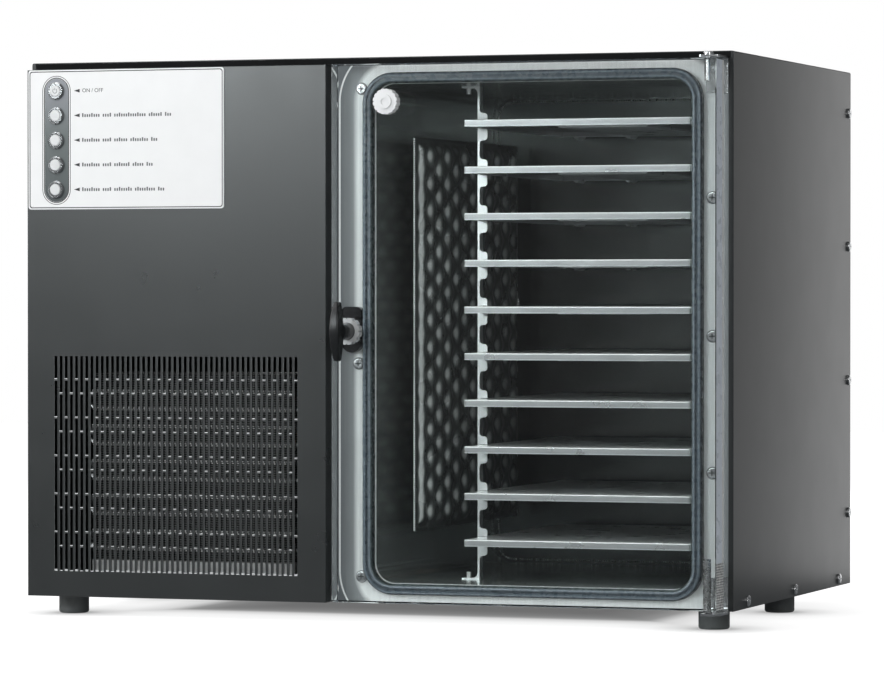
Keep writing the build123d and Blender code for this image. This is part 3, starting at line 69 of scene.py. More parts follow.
class Graph:
    """A short way to write a node tree: one call per node, each returning its output socket."""

    def __init__(self, tree, coordinate):
        self.tree = tree
        self.coord = self.new("TexCoord").outputs[coordinate]

    def new(self, kind):
        return self.tree.nodes.new("ShaderNode" + kind)

    def link(self, a, b):
        self.tree.links.new(a, b)

    def along(self, axis):
        """The coordinate on one axis."""
        split = self.new("SeparateXYZ")
        self.link(self.coord, split.inputs["Vector"])
        return split.outputs[axis]

    def scaled(self, scale):
        node = self.new("Mapping")
        node.inputs["Scale"].default_value = scale
        self.link(self.coord, node.inputs["Vector"])
        return node.outputs["Vector"]

    def noise(self, scale, detail=3.0, rough=0.5, stretch=None):
        node = self.new("TexNoise")
        node.inputs["Scale"].default_value = scale
        node.inputs["Detail"].default_value = detail
        node.inputs["Roughness"].default_value = rough
        self.link(self.scaled(stretch) if stretch else self.coord, node.inputs["Vector"])
        return node.outputs["Fac"]

    def ridges(self, pitch, distortion=0.0):
        """Waves along Z, one to a pitch; the wave node turns through 20 radians per unit of its scale."""
        node = self.new("TexWave")
        node.bands_direction = "Z"
        node.inputs["Scale"].default_value = 2 * pi / pitch / 20
        node.inputs["Distortion"].default_value = distortion
        self.link(self.coord, node.inputs["Vector"])
        return node.outputs["Fac"]

    def ramp(self, fac, stops):
        node = self.new("ValToRGB")
        ramp = node.color_ramp
        while len(ramp.elements) < len(stops):
            ramp.elements.new(0.5)
        for element, (place, colour) in zip(ramp.elements, stops):
            element.position = place
            element.color = (*colour, 1)
        self.link(fac, node.inputs["Fac"])
        return node.outputs["Color"]

    def between(self, value, start, end, low=0.0, high=1.0):
        """A value that runs from low at start to high at end, and stays there beyond them."""
        node = self.new("MapRange")
        node.inputs["From Min"].default_value = start
        node.inputs["From Max"].default_value = end
        node.inputs["To Min"].default_value = low
        node.inputs["To Max"].default_value = high
        self.link(value, node.inputs["Value"])
        return node.outputs["Result"]

    def spread(self, noise, low, high):
        """Noise, most of which lies between a quarter and three quarters, spread over a range."""
        return self.between(noise, 0.25, 0.75, low, high)

    def math(self, operation, a, b=0.0):
        """One math node on sockets or plain numbers."""
        node = self.new("Math")
        node.operation = operation
        for place, value in enumerate((a, b)):
            if isinstance(value, (int, float)):
                node.inputs[place].default_value = value
            else:
                self.link(value, node.inputs[place])
        return node.outputs[0]

    def outside(self, frame_box, axes, radius):
        """Signed distance in metres from a rounded rectangle, positive outside it."""
        low, high = frame_box
        past = []
        for axis in axes:
            a, b = low["XYZ".index(axis)], high["XYZ".index(axis)]
            off = self.math("ABSOLUTE", self.math("SUBTRACT", self.along(axis), (a + b) / 2))
            past.append(self.math("SUBTRACT", off, (b - a) / 2 - radius))
        squares = [self.math("POWER", self.math("MAXIMUM", q, 0.0), 2.0) for q in past]
        corner = self.math("SQRT", self.math("ADD", *squares))
        inner = self.math("MINIMUM", self.math("MAXIMUM", *past), 0.0)
        return self.math("SUBTRACT", self.math("ADD", corner, inner), radius)

    def times(self, colour, factor):
        """A colour socket dimmed by a factor socket."""
        node = self.new("Mix")
        node.data_type = "RGBA"
        node.blend_type = "MULTIPLY"
        node.inputs["Factor"].default_value = 1.0
        self.link(colour, node.inputs["A"])
        self.link(factor, node.inputs["B"])
        return node.outputs["Result"]

    def surface(self, kind, colour):
        """A plain shader of one colour, given as three numbers or as a socket."""
        node = self.new(kind)
        if isinstance(colour, tuple):
            node.inputs["Color"].default_value = (*colour, 1)
        else:
            self.link(colour, node.inputs["Color"])
        return node.outputs[0]

    def mixed(self, factor, first, second):
        """The first shader where the factor is 0, and the second where it is 1."""
        node = self.new("MixShader")
        self.link(factor, node.inputs["Fac"])
        self.link(first, node.inputs[1])
        self.link(second, node.inputs[2])
        return node.outputs["Shader"]

    def light_path(self, output):
        return self.new("LightPath").outputs[output]

    def seen_within(self, bounces):
        """1 for what is seen after fewer bounces than this, not counting the passage through glass."""
        bounced = self.math("SUBTRACT", self.light_path("Ray Depth"), self.light_path("Transmission Depth"))
        return self.math("LESS_THAN", bounced, bounces)


class Finish(Graph):
    """A material on one Principled shader."""

    def __init__(self, name):
        self.mat = bpy.data.materials.new(name)
        self.mat.use_nodes = True
        super().__init__(self.mat.node_tree, "Object")
        self.shader = self.tree.nodes["Principled BSDF"]
        self.out = self.tree.nodes["Material Output"].inputs["Surface"]

    def put(self, **values):
        for key, value in values.items():
            self.shader.inputs[key.replace("_", " ")].default_value = value

    def colour(self, socket):
        self.link(socket, self.shader.inputs["Base Color"])

    def rough(self, socket):
        self.link(socket, self.shader.inputs["Roughness"])

    def bump(self, height, strength, distance):
        node = self.new("Bump")
        node.inputs["Strength"].default_value = strength
        node.inputs["Distance"].default_value = distance
        self.link(height, node.inputs["Height"])
        self.link(node.outputs["Normal"], self.shader.inputs["Normal"])


# ---------------------------------------------------------------- materials

LINE_X = (18.0, 1200.0, 1800.0)
LINE_Y = (1200.0, 18.0, 1200.0)
LINE_Z = (1500.0, 1500.0, 18.0)


def even(scale):
    """The same noise scale on all three axes."""
    return (scale,) * 3


def grey(level):
    return (level,) * 3


def shade(colour, factor):
    return tuple(min(1.0, c * factor) for c in colour[:3])


def powder_coat(name, colour, rough=(0.34, 0.46), coat=0.0, cloud=0.05, level=0.5, dull_above=None):
    """Satin powder coat: orange-peel bump, faint mottling, slightly uneven gloss.

    Above the height dull_above the coat is matt, as on a top that things are stood on and wiped off.
    """
    m = Finish(name)
    m.colour(m.ramp(m.noise(7.0, 4), [(0.3, shade(colour, 1 - cloud)), (0.7, shade(colour, 1 + cloud))]))
    matting = 0.32
    roughness = m.spread(m.noise(26.0, 4), *rough)
    if dull_above is not None:
        on_top = m.math("GREATER_THAN", m.along("Z"), dull_above)
        roughness = m.math("ADD", roughness, m.math("MULTIPLY", on_top, matting))
    m.rough(roughness)
    m.put(Specular_IOR_Level=level, Coat_Weight=coat, Coat_Roughness=0.12)
    m.bump(m.noise(900.0, 2), 0.06, 0.0002)
    return m.mat


def brushed(name, colour, stretch, rough=(0.26, 0.4), bump=0.08, streak=0.12, metal=1.0):
    """Brushed or rolled metal: fine lines along one direction and soft cloudy variation."""
    m = Finish(name)
    lines = m.noise(1.0, 5, 0.6, stretch)
    m.colour(m.ramp(lines, [(0.25, shade(colour, 1 - streak)), (0.75, shade(colour, 1 + streak))]))
    m.rough(m.spread(m.noise(1.0, 4, 0.6, tuple(s * 0.6 for s in stretch)), *rough))
    m.put(Metallic=metal)
    m.bump(lines, bump, 0.00008)
    return m.mat


def flange_painted_reflection(name, painted_reflection_box):
    """Ground stainless sheet with a painted reflection: bright beside the seal, deeper grey towards the
    fascia, and a thin painted highlight line further out.
    """
    m = Finish(name)
    lines = m.noise(1.0, 5, 0.6, LINE_Z)
    grain = m.ramp(lines, [(0.25, (0.86, 0.88, 0.88)), (0.75, (0.98, 1.0, 1.0))])
    streaks = m.ramp(m.noise(1.0, 4, 0.6, (240.0, 240.0, 2.0)), [(0.3, grey(0.9)), (0.65, grey(1.0))])
    fade_w = 50.0 * MM
    away = m.math("DIVIDE", m.outside(painted_reflection_box, "XZ", SEAL_R), fade_w)
    # painted reflection: the colour falls from near white beside the seal to dark grey, with a thin painted
    # highlight line about 26 to 27.5 mm out
    painted_reflection_fall = [
        (0.0, grey(0.98)),
        (0.14, grey(0.97)),
        (0.25, (0.27, 0.28, 0.29)),
        (0.515, (0.15, 0.16, 0.17)),
        (0.525, grey(0.9)),
        (0.55, grey(0.9)),
        (0.56, (0.12, 0.13, 0.14)),
    ]
    m.colour(m.times(m.times(grain, streaks), m.ramp(away, painted_reflection_fall)))
    m.rough(m.spread(m.noise(1.0, 4, 0.6, (12.0, 12.0, 3.0)), 0.34, 0.42))
    m.put(Metallic=0.1)
    m.bump(lines, 0.05, 0.00006)
    return m.mat


def rear_wall_painted_shade(name, wall_box):
    """Cold-rolled sheet, with painted shade that darkens it towards the chamber's floor."""
    m = Finish(name)
    rise = m.between(m.along("Z"), wall_box[0].z, wall_box[1].z)
    clouds = m.ramp(m.noise(1.0, 5, 0.6, (4.0, 4.0, 2.5)), [(0.25, grey(0.92)), (0.75, grey(1.0))])
    # painted shade: the steel's colour darkens from the top of the wall to its bottom
    steel = [(0.05, (0.115, 0.125, 0.122)), (0.5, (0.2, 0.215, 0.21)), (0.95, (0.3, 0.325, 0.32))]
    m.colour(m.times(m.ramp(rise, steel), clouds))
    m.rough(m.spread(m.noise(1.0, 4, 0.6, (2.4, 2.4, 1.5)), 0.17, 0.24))
    m.put(Metallic=1.0)
    return m.mat


def pillow_steel(name):
    """Dull stainless sheet with painted highlights on the shoulders of its pillows that face the door."""
    m = Finish(name)
    highlight_attribute = m.new("Attribute")
    highlight_attribute.attribute_name = "painted_highlight"
    steel = [(0.15, (0.05, 0.056, 0.055)), (0.6, (0.22, 0.24, 0.236)), (0.98, (0.95, 0.98, 0.97))]
    clouds = m.ramp(m.noise(9.0, 4), [(0.3, grey(0.75)), (0.7, grey(1.0))])
    # painted highlight: the colour runs from dark steel to near white where the attribute marks a
    # door-facing slope
    m.colour(m.times(m.ramp(highlight_attribute.outputs["Fac"], steel), clouds))
    m.rough(m.spread(m.noise(24.0, 4), 0.24, 0.32))
    m.put(Metallic=0.3)
    return m.mat


def seal_rubber(name):
    """Blue-grey silicone profile with painted light across its width: two painted highlight lines along it,
    darker rubber between them, and painted shade at both edges.
    """
    m = Finish(name)
    bands_w = 1.0 / 90.0  # 11.1 mm, about the width of the profile
    across = m.math("ADD", m.math("DIVIDE", m.outside(seal_box, "XZ", SEAL_R), bands_w), 1.0)
    # painted highlight lines and painted shade across the profile's width
    painted_light_bands = [
        (0.0, (0.02, 0.028, 0.03)),
        (0.14, (0.05, 0.068, 0.072)),
        (0.26, (0.2, 0.235, 0.275)),
        (0.38, (0.1, 0.12, 0.14)),
        (0.62, (0.07, 0.09, 0.11)),
        (0.8, (0.17, 0.205, 0.24)),
        (0.95, (0.02, 0.025, 0.03)),
    ]
    tint = m.ramp(m.noise(25.0, 3), [(0.3, grey(0.93)), (0.7, grey(1.0))])
    m.colour(m.times(m.ramp(across, painted_light_bands), tint))
    m.rough(m.spread(m.noise(160.0, 4), 0.22, 0.34))
    m.bump(m.noise(1400.0, 2), 0.06, 0.0001)
    return m.mat


def folded_aluminium(name, shelf_top):
    """Rolled sheet with painted highlights on its bent top edge and hem, repeated at every shelf, and a
    darker lip between them.
    """
    m = Finish(name)
    level = m.math("DIVIDE", m.math("SUBTRACT", m.along("Z"), shelf_top + 0.2 * MM), SHELF_PITCH)
    hem = 1 - SHELF_LIP / SHELF_PITCH
    # painted highlights on the hem and the top edge of every shelf's lip
    painted_light_bands = [
        (hem, (0.85, 0.87, 0.88)),
        (hem + 0.014, (0.85, 0.87, 0.88)),
        (hem + 0.022, (0.56, 0.57, 0.58)),
        (0.965, (0.64, 0.65, 0.66)),
        (0.975, (0.95, 0.96, 0.96)),
    ]
    grain = m.ramp(m.noise(1.0, 4, 0.6, LINE_X), [(0.25, grey(0.94)), (0.75, grey(1.0))])
    m.colour(m.times(m.ramp(m.math("FRACT", level), painted_light_bands), grain))
    m.rough(m.spread(m.noise(30.0, 3), 0.26, 0.32))
    m.put(Metallic=0.8)
    return m.mat


def fin_sheet(name):
    """Corrugated aluminium fins: painted highlights on the ridges along Z and painted shade between them."""
    m = Finish(name)
    wave = m.ridges(2.4 * MM, 1.5)
    # painted highlight on the corrugation's ridges and painted shade in its troughs
    m.colour(m.ramp(wave, [(0.35, (0.04, 0.042, 0.045)), (0.9, (0.6, 0.61, 0.62))]))
    m.rough(m.spread(m.noise(300.0), 0.3, 0.45))
    m.put(Metallic=0.3)
    m.bump(wave, 0.3, 0.0003)
    return m.mat


def threaded(name, colour, pitch=1.25 * MM, metal=1.0):
    """Bright steel with a thread's ridges along Z: painted shade in the grooves and painted highlight on the
    crests.
    """
    m = Finish(name)
    wave = m.ridges(pitch)
    # painted shade in the thread's grooves, painted highlight on its crests
    m.colour(m.ramp(wave, [(0.2, shade(colour, 0.35)), (0.8, shade(colour, 1.05))]))
    m.rough(m.spread(m.noise(200.0), 0.2, 0.34))
    m.put(Metallic=metal)
    m.bump(wave, 0.8, 0.0006)
    return m.mat


def plastic(name, colour, rough=(0.3, 0.42), grain=600.0, bump=0.05, coat=0.0, cloud=0.04):
    """Moulded plastic: faint texture and handling marks."""
    m = Finish(name)
    m.colour(m.ramp(m.noise(40.0, 4), [(0.3, shade(colour, 1 - cloud)), (0.7, shade(colour, 1 + cloud))]))
    m.rough(m.spread(m.noise(70.0, 4), *rough))
    m.put(Coat_Weight=coat, Coat_Roughness=0.05)
    m.bump(m.noise(grain, 2), bump, 0.0001)
    return m.mat


def rubber(name, colour, rough=(0.5, 0.62)):
    """Matt rubber with a fine pebbled skin."""
    m = Finish(name)
    m.colour(m.ramp(m.noise(90.0, 5), [(0.3, shade(colour, 0.85)), (0.7, shade(colour, 1.12))]))
    m.rough(m.spread(m.noise(160.0, 4), *rough))
    m.put(Sheen_Weight=0.1)
    m.bump(m.noise(1400.0, 2), 0.1, 0.0001)
    return m.mat


def acrylic(name):
    """Polished clear acrylic that bends light but lets lamp light through to the chamber."""
    m = Finish(name)
    m.colour(m.ramp(m.noise(3.0, 2), [(0.3, (0.955, 0.975, 0.97)), (0.7, (0.965, 0.985, 0.98))]))
    m.rough(m.spread(m.noise(18.0, 4), 0.0, 0.012))
    m.put(IOR=1.49, Transmission_Weight=1.0)
    clear = m.surface("BsdfTransparent", (0.93, 0.95, 0.945))
    m.link(m.mixed(m.light_path("Is Shadow Ray"), m.shader.outputs["BSDF"], clear), m.out)
    return m.mat


def ink(name, colour):
    """Printing ink, a little uneven in tone."""
    m = Finish(name)
    m.colour(m.ramp(m.noise(900.0, 3), [(0.3, shade(colour, 0.85)), (0.7, shade(colour, 1.15))]))
    m.rough(m.spread(m.noise(120.0), 0.32, 0.45))
    return m.mat


def recess_shade(name, low_z, high_z):
    """Black paint in a recess that is lit from above."""
    m = Finish(name)
    rise = m.between(m.along("Z"), low_z, high_z)
    tones = [(0.0, (0.07, 0.082, 0.085)), (0.55, (0.13, 0.15, 0.15)), (1.0, (0.3, 0.31, 0.34))]
    m.colour(m.ramp(rise, tones))
    m.rough(m.spread(m.noise(60.0), 0.3, 0.42))
    return m.mat


# the flange's painted reflection stays bright a little further out below the seal and on the hinge side
painted_reflection_box = (seal_box[0] - Vector((0, 0, 8 * MM)), seal_box[1] + Vector((6 * MM, 0, 2 * MM)))
top_face_z = hood_high.z - 0.3 * MM
hood_black = (0.02, 0.022, 0.0225)
fascia_black = (0.019, 0.0215, 0.022)

# finishes of the record's material slots
finish = {
    "hood_paint": powder_coat("hood_paint", hood_black, (0.29, 0.31), cloud=0.03, dull_above=top_face_z),
    "fascia_paint": powder_coat("fascia_paint", fascia_black, (0.27, 0.31), level=1.0),
    "rear_paint": powder_coat("rear_paint", (0.03, 0.032, 0.033), (0.36, 0.48)),
    "galvanised_sheet": brushed("galvanised_sheet", (0.42, 0.43, 0.44), even(60.0), (0.35, 0.55)),
    "chamber_steel": brushed(
        "chamber_steel", (0.6, 0.66, 0.645), (9.0, 9.0, 5.0), (0.16, 0.26), 0.02, 0.06, metal=0.92
    ),
    "seal_rubber": seal_rubber("seal_rubber"),
    "rail_steel": brushed("rail_steel", (0.95, 0.96, 0.96), LINE_Z, (0.3, 0.42), 0.04, 0.04),
    "shelf_aluminium": folded_aluminium("shelf_aluminium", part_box("shelf_10")[1].z),
    "ice_steel": pillow_steel("ice_steel"),
    "copper_pipe": brushed("copper_pipe", (0.78, 0.42, 0.27), even(90.0), (0.22, 0.4)),
    "door_acrylic": acrylic("door_acrylic"),
    "hinge_chrome": brushed("hinge_chrome", (0.88, 0.89, 0.9), even(200.0), (0.12, 0.22), 0.02, 0.06),
    "latch_black": plastic("latch_black", (0.012, 0.013, 0.014), (0.2, 0.3)),
    "latch_steel": brushed("latch_steel", (0.9, 0.91, 0.92), LINE_Y, (0.24, 0.34), 0.04, 0.06),
    "vent_white": plastic("vent_white", (0.82, 0.825, 0.83), (0.28, 0.4)),
    "control_white": plastic("control_white", (0.87, 0.87, 0.872), (0.34, 0.42), 300.0, 0.02, cloud=0.012),
    "button_chrome": brushed("button_chrome", (0.62, 0.63, 0.64), even(300.0), (0.1, 0.16), 0.02),
    "button_white": plastic("button_white", (0.72, 0.725, 0.73), (0.2, 0.3), coat=0.3),
    "board_laminate": plastic("board_laminate", (0.02, 0.16, 0.06), (0.3, 0.45)),
    "compressor_paint": powder_coat("compressor_paint", (0.012, 0.012, 0.013), (0.2, 0.32), coat=0.3),
    "grommet_rubber": rubber("grommet_rubber", (0.02, 0.02, 0.02)),
    "coil_aluminium": brushed("coil_aluminium", (0.85, 0.87, 0.87), LINE_X, (0.2, 0.32), 0.05, 0.08),
    "shroud_steel": brushed("shroud_steel", (0.3, 0.31, 0.32), even(60.0), (0.32, 0.5)),
    "motor_paint": powder_coat("motor_paint", (0.04, 0.04, 0.042)),
    "rotor_plastic": plastic("rotor_plastic", (0.03, 0.03, 0.033)),
    "inlet_plastic": plastic("inlet_plastic", (0.02, 0.02, 0.021)),
    "port_steel": brushed("port_steel", (0.66, 0.67, 0.67), LINE_Y, (0.2, 0.32)),
    "foot_rubber": rubber("foot_rubber", (0.15, 0.16, 0.16)),
    "screw_steel": brushed("screw_steel", (0.8, 0.81, 0.82), even(200.0), (0.16, 0.28), 0.03),
}

# CAD nodes that look different from the rest of their slot
own_finish = {
    "latch_keeper": plastic("keeper_gloss", (0.008, 0.008, 0.009), (0.06, 0.12), coat=0.5),
    "latch_rosette": brushed(
        "rosette_chrome", (0.85, 0.87, 0.88), LINE_Y, (0.16, 0.24), 0.03, 0.05, metal=0.5
    ),
    "chamber_flange": flange_painted_reflection("flange_painted_reflection", painted_reflection_box),
    "chamber_back_plate": rear_wall_painted_shade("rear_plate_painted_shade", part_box("chamber_back_plate")),
    "hinge_pin_bottom": threaded("stud_thread", (0.85, 0.86, 0.87)),
}

# finishes of the pieces below
ink_black = ink("ink_black", (0.02, 0.02, 0.022))
# printing ink for the captions and the power mark, and also the painted shade of the flange's screws
ink_and_shade_grey = ink("ink_and_shade_grey", (0.1, 0.105, 0.11))
# painted shadow for the hood's front fold
painted_shadow_black = powder_coat("painted_shadow_black", (0.004, 0.0045, 0.005), (0.5, 0.6), level=0.1)
# the weld beads' own colour, and also the painted highlight on the heater covers' edges
weld_and_edge_highlight = plastic("weld_and_edge_highlight", (0.8, 0.82, 0.82), (0.3, 0.45), cloud=0.15)
acrylic_edge = plastic("acrylic_edge", (0.82, 0.89, 0.98), (0.24, 0.34), cloud=0.03)
# painted highlight for the door's right edge
edge_highlight_white = plastic("edge_highlight_white", (0.95, 0.96, 0.96), (0.2, 0.3), cloud=0.02)
# painted refraction: the stud's thread as seen through the acrylic edge, on a flat film
painted_stud_image = threaded("painted_stud_image", (0.95, 0.96, 0.97), 2.5 * MM, 0.1)
fin_painted_ridges = fin_sheet("fin_painted_ridges")
coil_tube = brushed("coil_tube", (0.5, 0.52, 0.52), even(300.0), (0.16, 0.24), 0.02, 0.1)
zinc_bright = plastic("zinc_bright", (0.97, 1.0, 1.0), (0.2, 0.3), coat=0.6, cloud=0.08)
# painted highlights on the grille's slot edges: a bright copy for the sills and a dim copy for the heads and
# sides
sill_highlight = brushed("sill_highlight", (0.95, 0.98, 0.98), even(700.0), (0.3, 0.45), 0.05, 0.25, metal=0.3)
head_dim_highlight = brushed(
    "head_dim_highlight", (0.17, 0.18, 0.18), even(700.0), (0.3, 0.45), 0.05, 0.3, metal=0.3
)

slot_of = {s["node"]: s["material_slot"] for s in frame["record"]["subparts"]}
for node, obj in nodes.items():
    obj.data.materials.clear()
    obj.data.materials.append(own_finish.get(node, finish[slot_of[node]]))


# ---------------------------------------------------------------- small mesh pieces


def centre(box):
    """The middle of a CAD box."""
    return (box[0] + box[1]) / 2


def mesh_piece(name, bm, material, body, smooth=False):
    """Turns a bmesh into a shown piece that rides on a body."""
    mesh = bpy.data.meshes.new(name)
    bmesh.ops.recalc_face_normals(bm, faces=bm.faces)
    bm.to_mesh(mesh)
    bm.free()
    if smooth:
        mesh.shade_smooth()
    mesh.materials.append(material)
    obj = bpy.data.objects.new(name, mesh)
    bpy.context.scene.collection.objects.link(obj)
    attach(obj, body)
    return obj


def rounded(cx, cz, w, h, r, steps=10):
    """Points of a rounded rectangle in the XZ plane."""
    points = []
    for sx, sz, start in ((1, 1, 0), (-1, 1, 90), (-1, -1, 180), (1, -1, 270)):
        for k in range(steps + 1):
            a = radians(start + 90 * k / steps)
            points.append((cx + sx * (w / 2 - r) + r * cos(a), cz + sz * (h / 2 - r) + r * sin(a)))
    return points


def capsule(cx, cz, w, h):
    """Points of an upright slot with round ends."""
    return rounded(cx, cz, w, h, w / 2 - 0.01 * MM, 16)


def skin(bm, a, b):
    """Quads between two closed rings of vertices."""
    n = len(a)
    for k in range(n):
        j = (k + 1) % n
        bm.faces.new((a[k], a[j], b[j], b[k]))


def slab(bm, y, outer, inner=None):
    """A flat mark inside an outline, or between two, from its front at y[0] to its back at y[1]."""
    front_out, back_out = ([bm.verts.new((x, place, z)) for x, z in outer] for place in y)
    skin(bm, front_out, back_out)
    if inner is None:
        bm.faces.new(front_out)
        bm.faces.new(back_out)
        return
    front_in, back_in = ([bm.verts.new((x, place, z)) for x, z in inner] for place in y)
    skin(bm, front_in, back_in)
    skin(bm, front_out, front_in)
    skin(bm, back_out, back_in)


def brick(bm, x, y, z):
    """A box between pairs of places on the three axes."""
    made = bmesh.ops.create_cube(bm, size=1.0)
    for v in made["verts"]:
        v.co = Vector((x[v.co.x > 0], y[v.co.y > 0], z[v.co.z > 0]))


def bead(bm, place, half_sizes, subdivisions):
    """A ball stretched to its half sizes on the three axes."""
    made = bmesh.ops.create_icosphere(bm, subdivisions=subdivisions, radius=1.0)
    for v in made["verts"]:
        v.co = Vector([a + b * c for a, b, c in zip(place, v.co, half_sizes)])


def spigot(bm, x, y, z, radius, sides):
    """A round tube along X between a pair of places, open at its ends. Returns the first end's ring."""
    angles = [2 * pi * k / sides for k in range(sides)]
    circle = [(y + radius * cos(a), z + radius * sin(a)) for a in angles]
    first, last = ([bm.verts.new((place, cy, cz)) for cy, cz in circle] for place in x)
    skin(bm, first, last)
    return first


def hose(bm, points, radius, sides=14):
    """A round tube along a path."""
    rings = []
    for k, point in enumerate(points):
        before = points[max(0, k - 1)]
        after = points[min(len(points) - 1, k + 1)]
        along = (after - before).normalized()
        side = along.cross(Vector((0, 1, 0)) if abs(along.y) < 0.9 else Vector((1, 0, 0))).normalized()
        up = side.cross(along)
        angles = [2 * pi * n / sides for n in range(sides)]
        rings.append([bm.verts.new(point + radius * (cos(a) * side + sin(a) * up)) for a in angles])
    for a, b in zip(rings, rings[1:]):
        skin(bm, a, b)
    bm.faces.new(rings[0])
    bm.faces.new(rings[-1])


# ---------------------------------------------------------------- printed marks on the control plate

plate_low, plate_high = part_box("control_plate")
plate_mid = centre((plate_low, plate_high))
ink_t = 0.05 * MM
ink_y = (plate_low.y - ink_t, plate_low.y + ink_t)
buttons = ["power", "condenser", "vacuum", "heating", "defrost"]
caps = {b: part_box("button_" + b) for b in buttons}
cap_z = {b: centre(caps[b]).z for b in buttons}

border = 1.3 * MM
border_line = 0.9 * MM
border_r = 3.0 * MM
inner_r = 2.4 * MM
border_w = plate_high.x - plate_low.x - 2 * border
border_h = plate_high.z - plate_low.z - 2 * border

# the cut-out that the buttons stand in, and the two lines round it
strip_x = plate_low.x + 31.55 * MM
strip_z = (cap_z["power"] + cap_z["defrost"]) / 2
strip_w = 26.3 * MM
strip_h = 126.8 * MM
strip_lines = ((0.0, 0.9 * MM), (2.1 * MM, 0.6 * MM))

bm = bmesh.new()
slab(
    bm,
    ink_y,
    rounded(plate_mid.x, plate_mid.z, border_w, border_h, border_r),
    rounded(plate_mid.x, plate_mid.z, border_w - 2 * border_line, border_h - 2 * border_line, inner_r),
)
for grow, line in strip_lines:
    w = strip_w + 2 * grow
    h = strip_h + 2 * grow
    slab(bm, ink_y, capsule(strip_x, strip_z, w + 2 * line, h + 2 * line), capsule(strip_x, strip_z, w, h))
mesh_piece("plate_outlines", bm, ink_black, "cabinet")

arrow_x = plate_low.x + 51.0 * MM
arrow_len = 6.5 * MM
arrow_half_h = 1.9 * MM
bm = bmesh.new()
for z in cap_z.values():
    tail_x = arrow_x + arrow_len
    slab(bm, ink_y, [(arrow_x, z), (tail_x, z + arrow_half_h), (tail_x, z - arrow_half_h)])
mesh_piece("plate_arrows", bm, ink_black, "cabinet")

# rows of small plain blocks stand where captions would be
caption_x = plate_low.x + 61.0 * MM
block_w = 1.6 * MM
block_step = 2.55 * MM
block_drop = 1.8 * MM
tall_h = 4.0 * MM
short_h = 3.0 * MM
word_gap = 2.6 * MM
word_lengths = ((8, 4, 14, 6, 3), (8, 4, 6, 8, 3), (8, 4, 7, 5, 3), (8, 4, 8, 9, 3))
bm = bmesh.new()
for b, words in zip(buttons[1:], word_lengths):
    x = caption_x
    for word, blocks in enumerate(words):
        for k in range(blocks):
            h = tall_h if (k + word) % 4 == 0 else short_h
            slab(bm, ink_y, rounded(x, cap_z[b] + h / 2 - block_drop, block_w, h, 0.5 * MM, 2))
            x += block_step
        x += word_gap
mesh_piece("plate_blocks", bm, ink_and_shade_grey, "cabinet")

# the power button's generic switch words
words = bpy.data.curves.new("switch_words", "FONT")
words.body = "ON / OFF"
words.size = 5.6 * MM
words.extrude = ink_t
words.align_y = "CENTER"
writer = bpy.data.objects.new("switch_words", words)
bpy.context.scene.collection.objects.link(writer)
writer.rotation_euler = (pi / 2, 0, 0)
writer.location = (caption_x - block_w / 2, plate_low.y, cap_z["power"])
bpy.context.view_layer.update()
flat = bpy.data.meshes.new_from_object(writer.evaluated_get(bpy.context.evaluated_depsgraph_get()))
flat.transform(writer.matrix_world)
bm = bmesh.new()
bm.from_mesh(flat)
mesh_piece("plate_words", bm, ink_black, "cabinet")
bpy.data.objects.remove(writer)

# shaded panel in the recess behind the buttons
panel_gap = 0.4 * MM
panel_y = plate_low.y + panel_gap
recess_paint = recess_shade("recess_shade", strip_z - 63 * MM, strip_z + 63 * MM)
bm = bmesh.new()
slab(
    bm,
    (panel_y - ink_t, panel_y + ink_t),
    capsule(strip_x, strip_z, strip_w - panel_gap, strip_h - panel_gap),
)
mesh_piece("recess_panel", bm, recess_paint, "cabinet")

# power mark: an open ring and a bar on the top cap
mark_x = centre(caps["power"]).x
mark_y = (caps["power"][0].y - ink_t, caps["power"][0].y)
ring_r = 2.1 * MM
ring_w = 0.5 * MM
ring_gap = 70
ring_steps = 20
turn = 360 - ring_gap
arc = [radians(90 + ring_gap / 2 + turn * k / ring_steps) for k in range(ring_steps + 1)]
bm = bmesh.new()
outer, inner = (
    [bm.verts.new((mark_x + r * cos(a), mark_y[0], cap_z["power"] + r * sin(a))) for a in arc]
    for r in (ring_r + ring_w, ring_r)
)
for k in range(ring_steps):
    bm.faces.new((outer[k], outer[k + 1], inner[k + 1], inner[k]))
slab(bm, mark_y, rounded(mark_x, cap_z["power"] + 1.9 * MM, ring_w, 2.6 * MM, 0.2 * MM, 3))
mesh_piece("power_mark", bm, ink_and_shade_grey, "button_power_cap")

# ---------------------------------------------------------------- dimpled cold plate

ice_low, ice_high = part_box("ice_condenser")
plate_t = 12.0 * MM
mid_x = ice_high.x - plate_t / 2
y0, y1, z0, z1 = ice_low.y, ice_high.y, ice_low.z, ice_high.z
mid_y = (y0 + y1) / 2
mid_z = (z0 + z1) / 2
rim_half_t = 0.9 * MM
rim_w = 7.0 * MM
rim_rise = 9.0 * MM
spot_pitch_y = 53.0 * MM
spot_pitch_z = 27.7 * MM
spot_y = 8.5 * MM
spot_z = 9.5 * MM
spot_depth = 0.92
steep = 0.42
steps_y = 110
steps_z = 134


def cushion(y, z):
    """Half thickness of the inflated plate: two sheets welded at the rim and at staggered spots."""
    edge = min(y - y0, y1 - y, z - z0, z1 - z)
    if edge < rim_w:
        return rim_half_t
    rise = min(1.0, (edge - rim_w) / rim_rise)
    full = (1 - (1 - rise) ** 2) ** 0.5
    dip = 0.0
    for shift in (0.0, 0.5):
        cy = mid_y + (round((y - mid_y) / spot_pitch_y - shift) + shift) * spot_pitch_y
        cz = mid_z + (round((z - mid_z) / spot_pitch_z - shift) + shift) * spot_pitch_z
        dip = max(dip, exp(-(((y - cy) / spot_y) ** 2 + ((z - cz) / spot_z) ** 2)))
    return rim_half_t + (plate_t / 2 - rim_half_t) * full * (1 - spot_depth * dip)


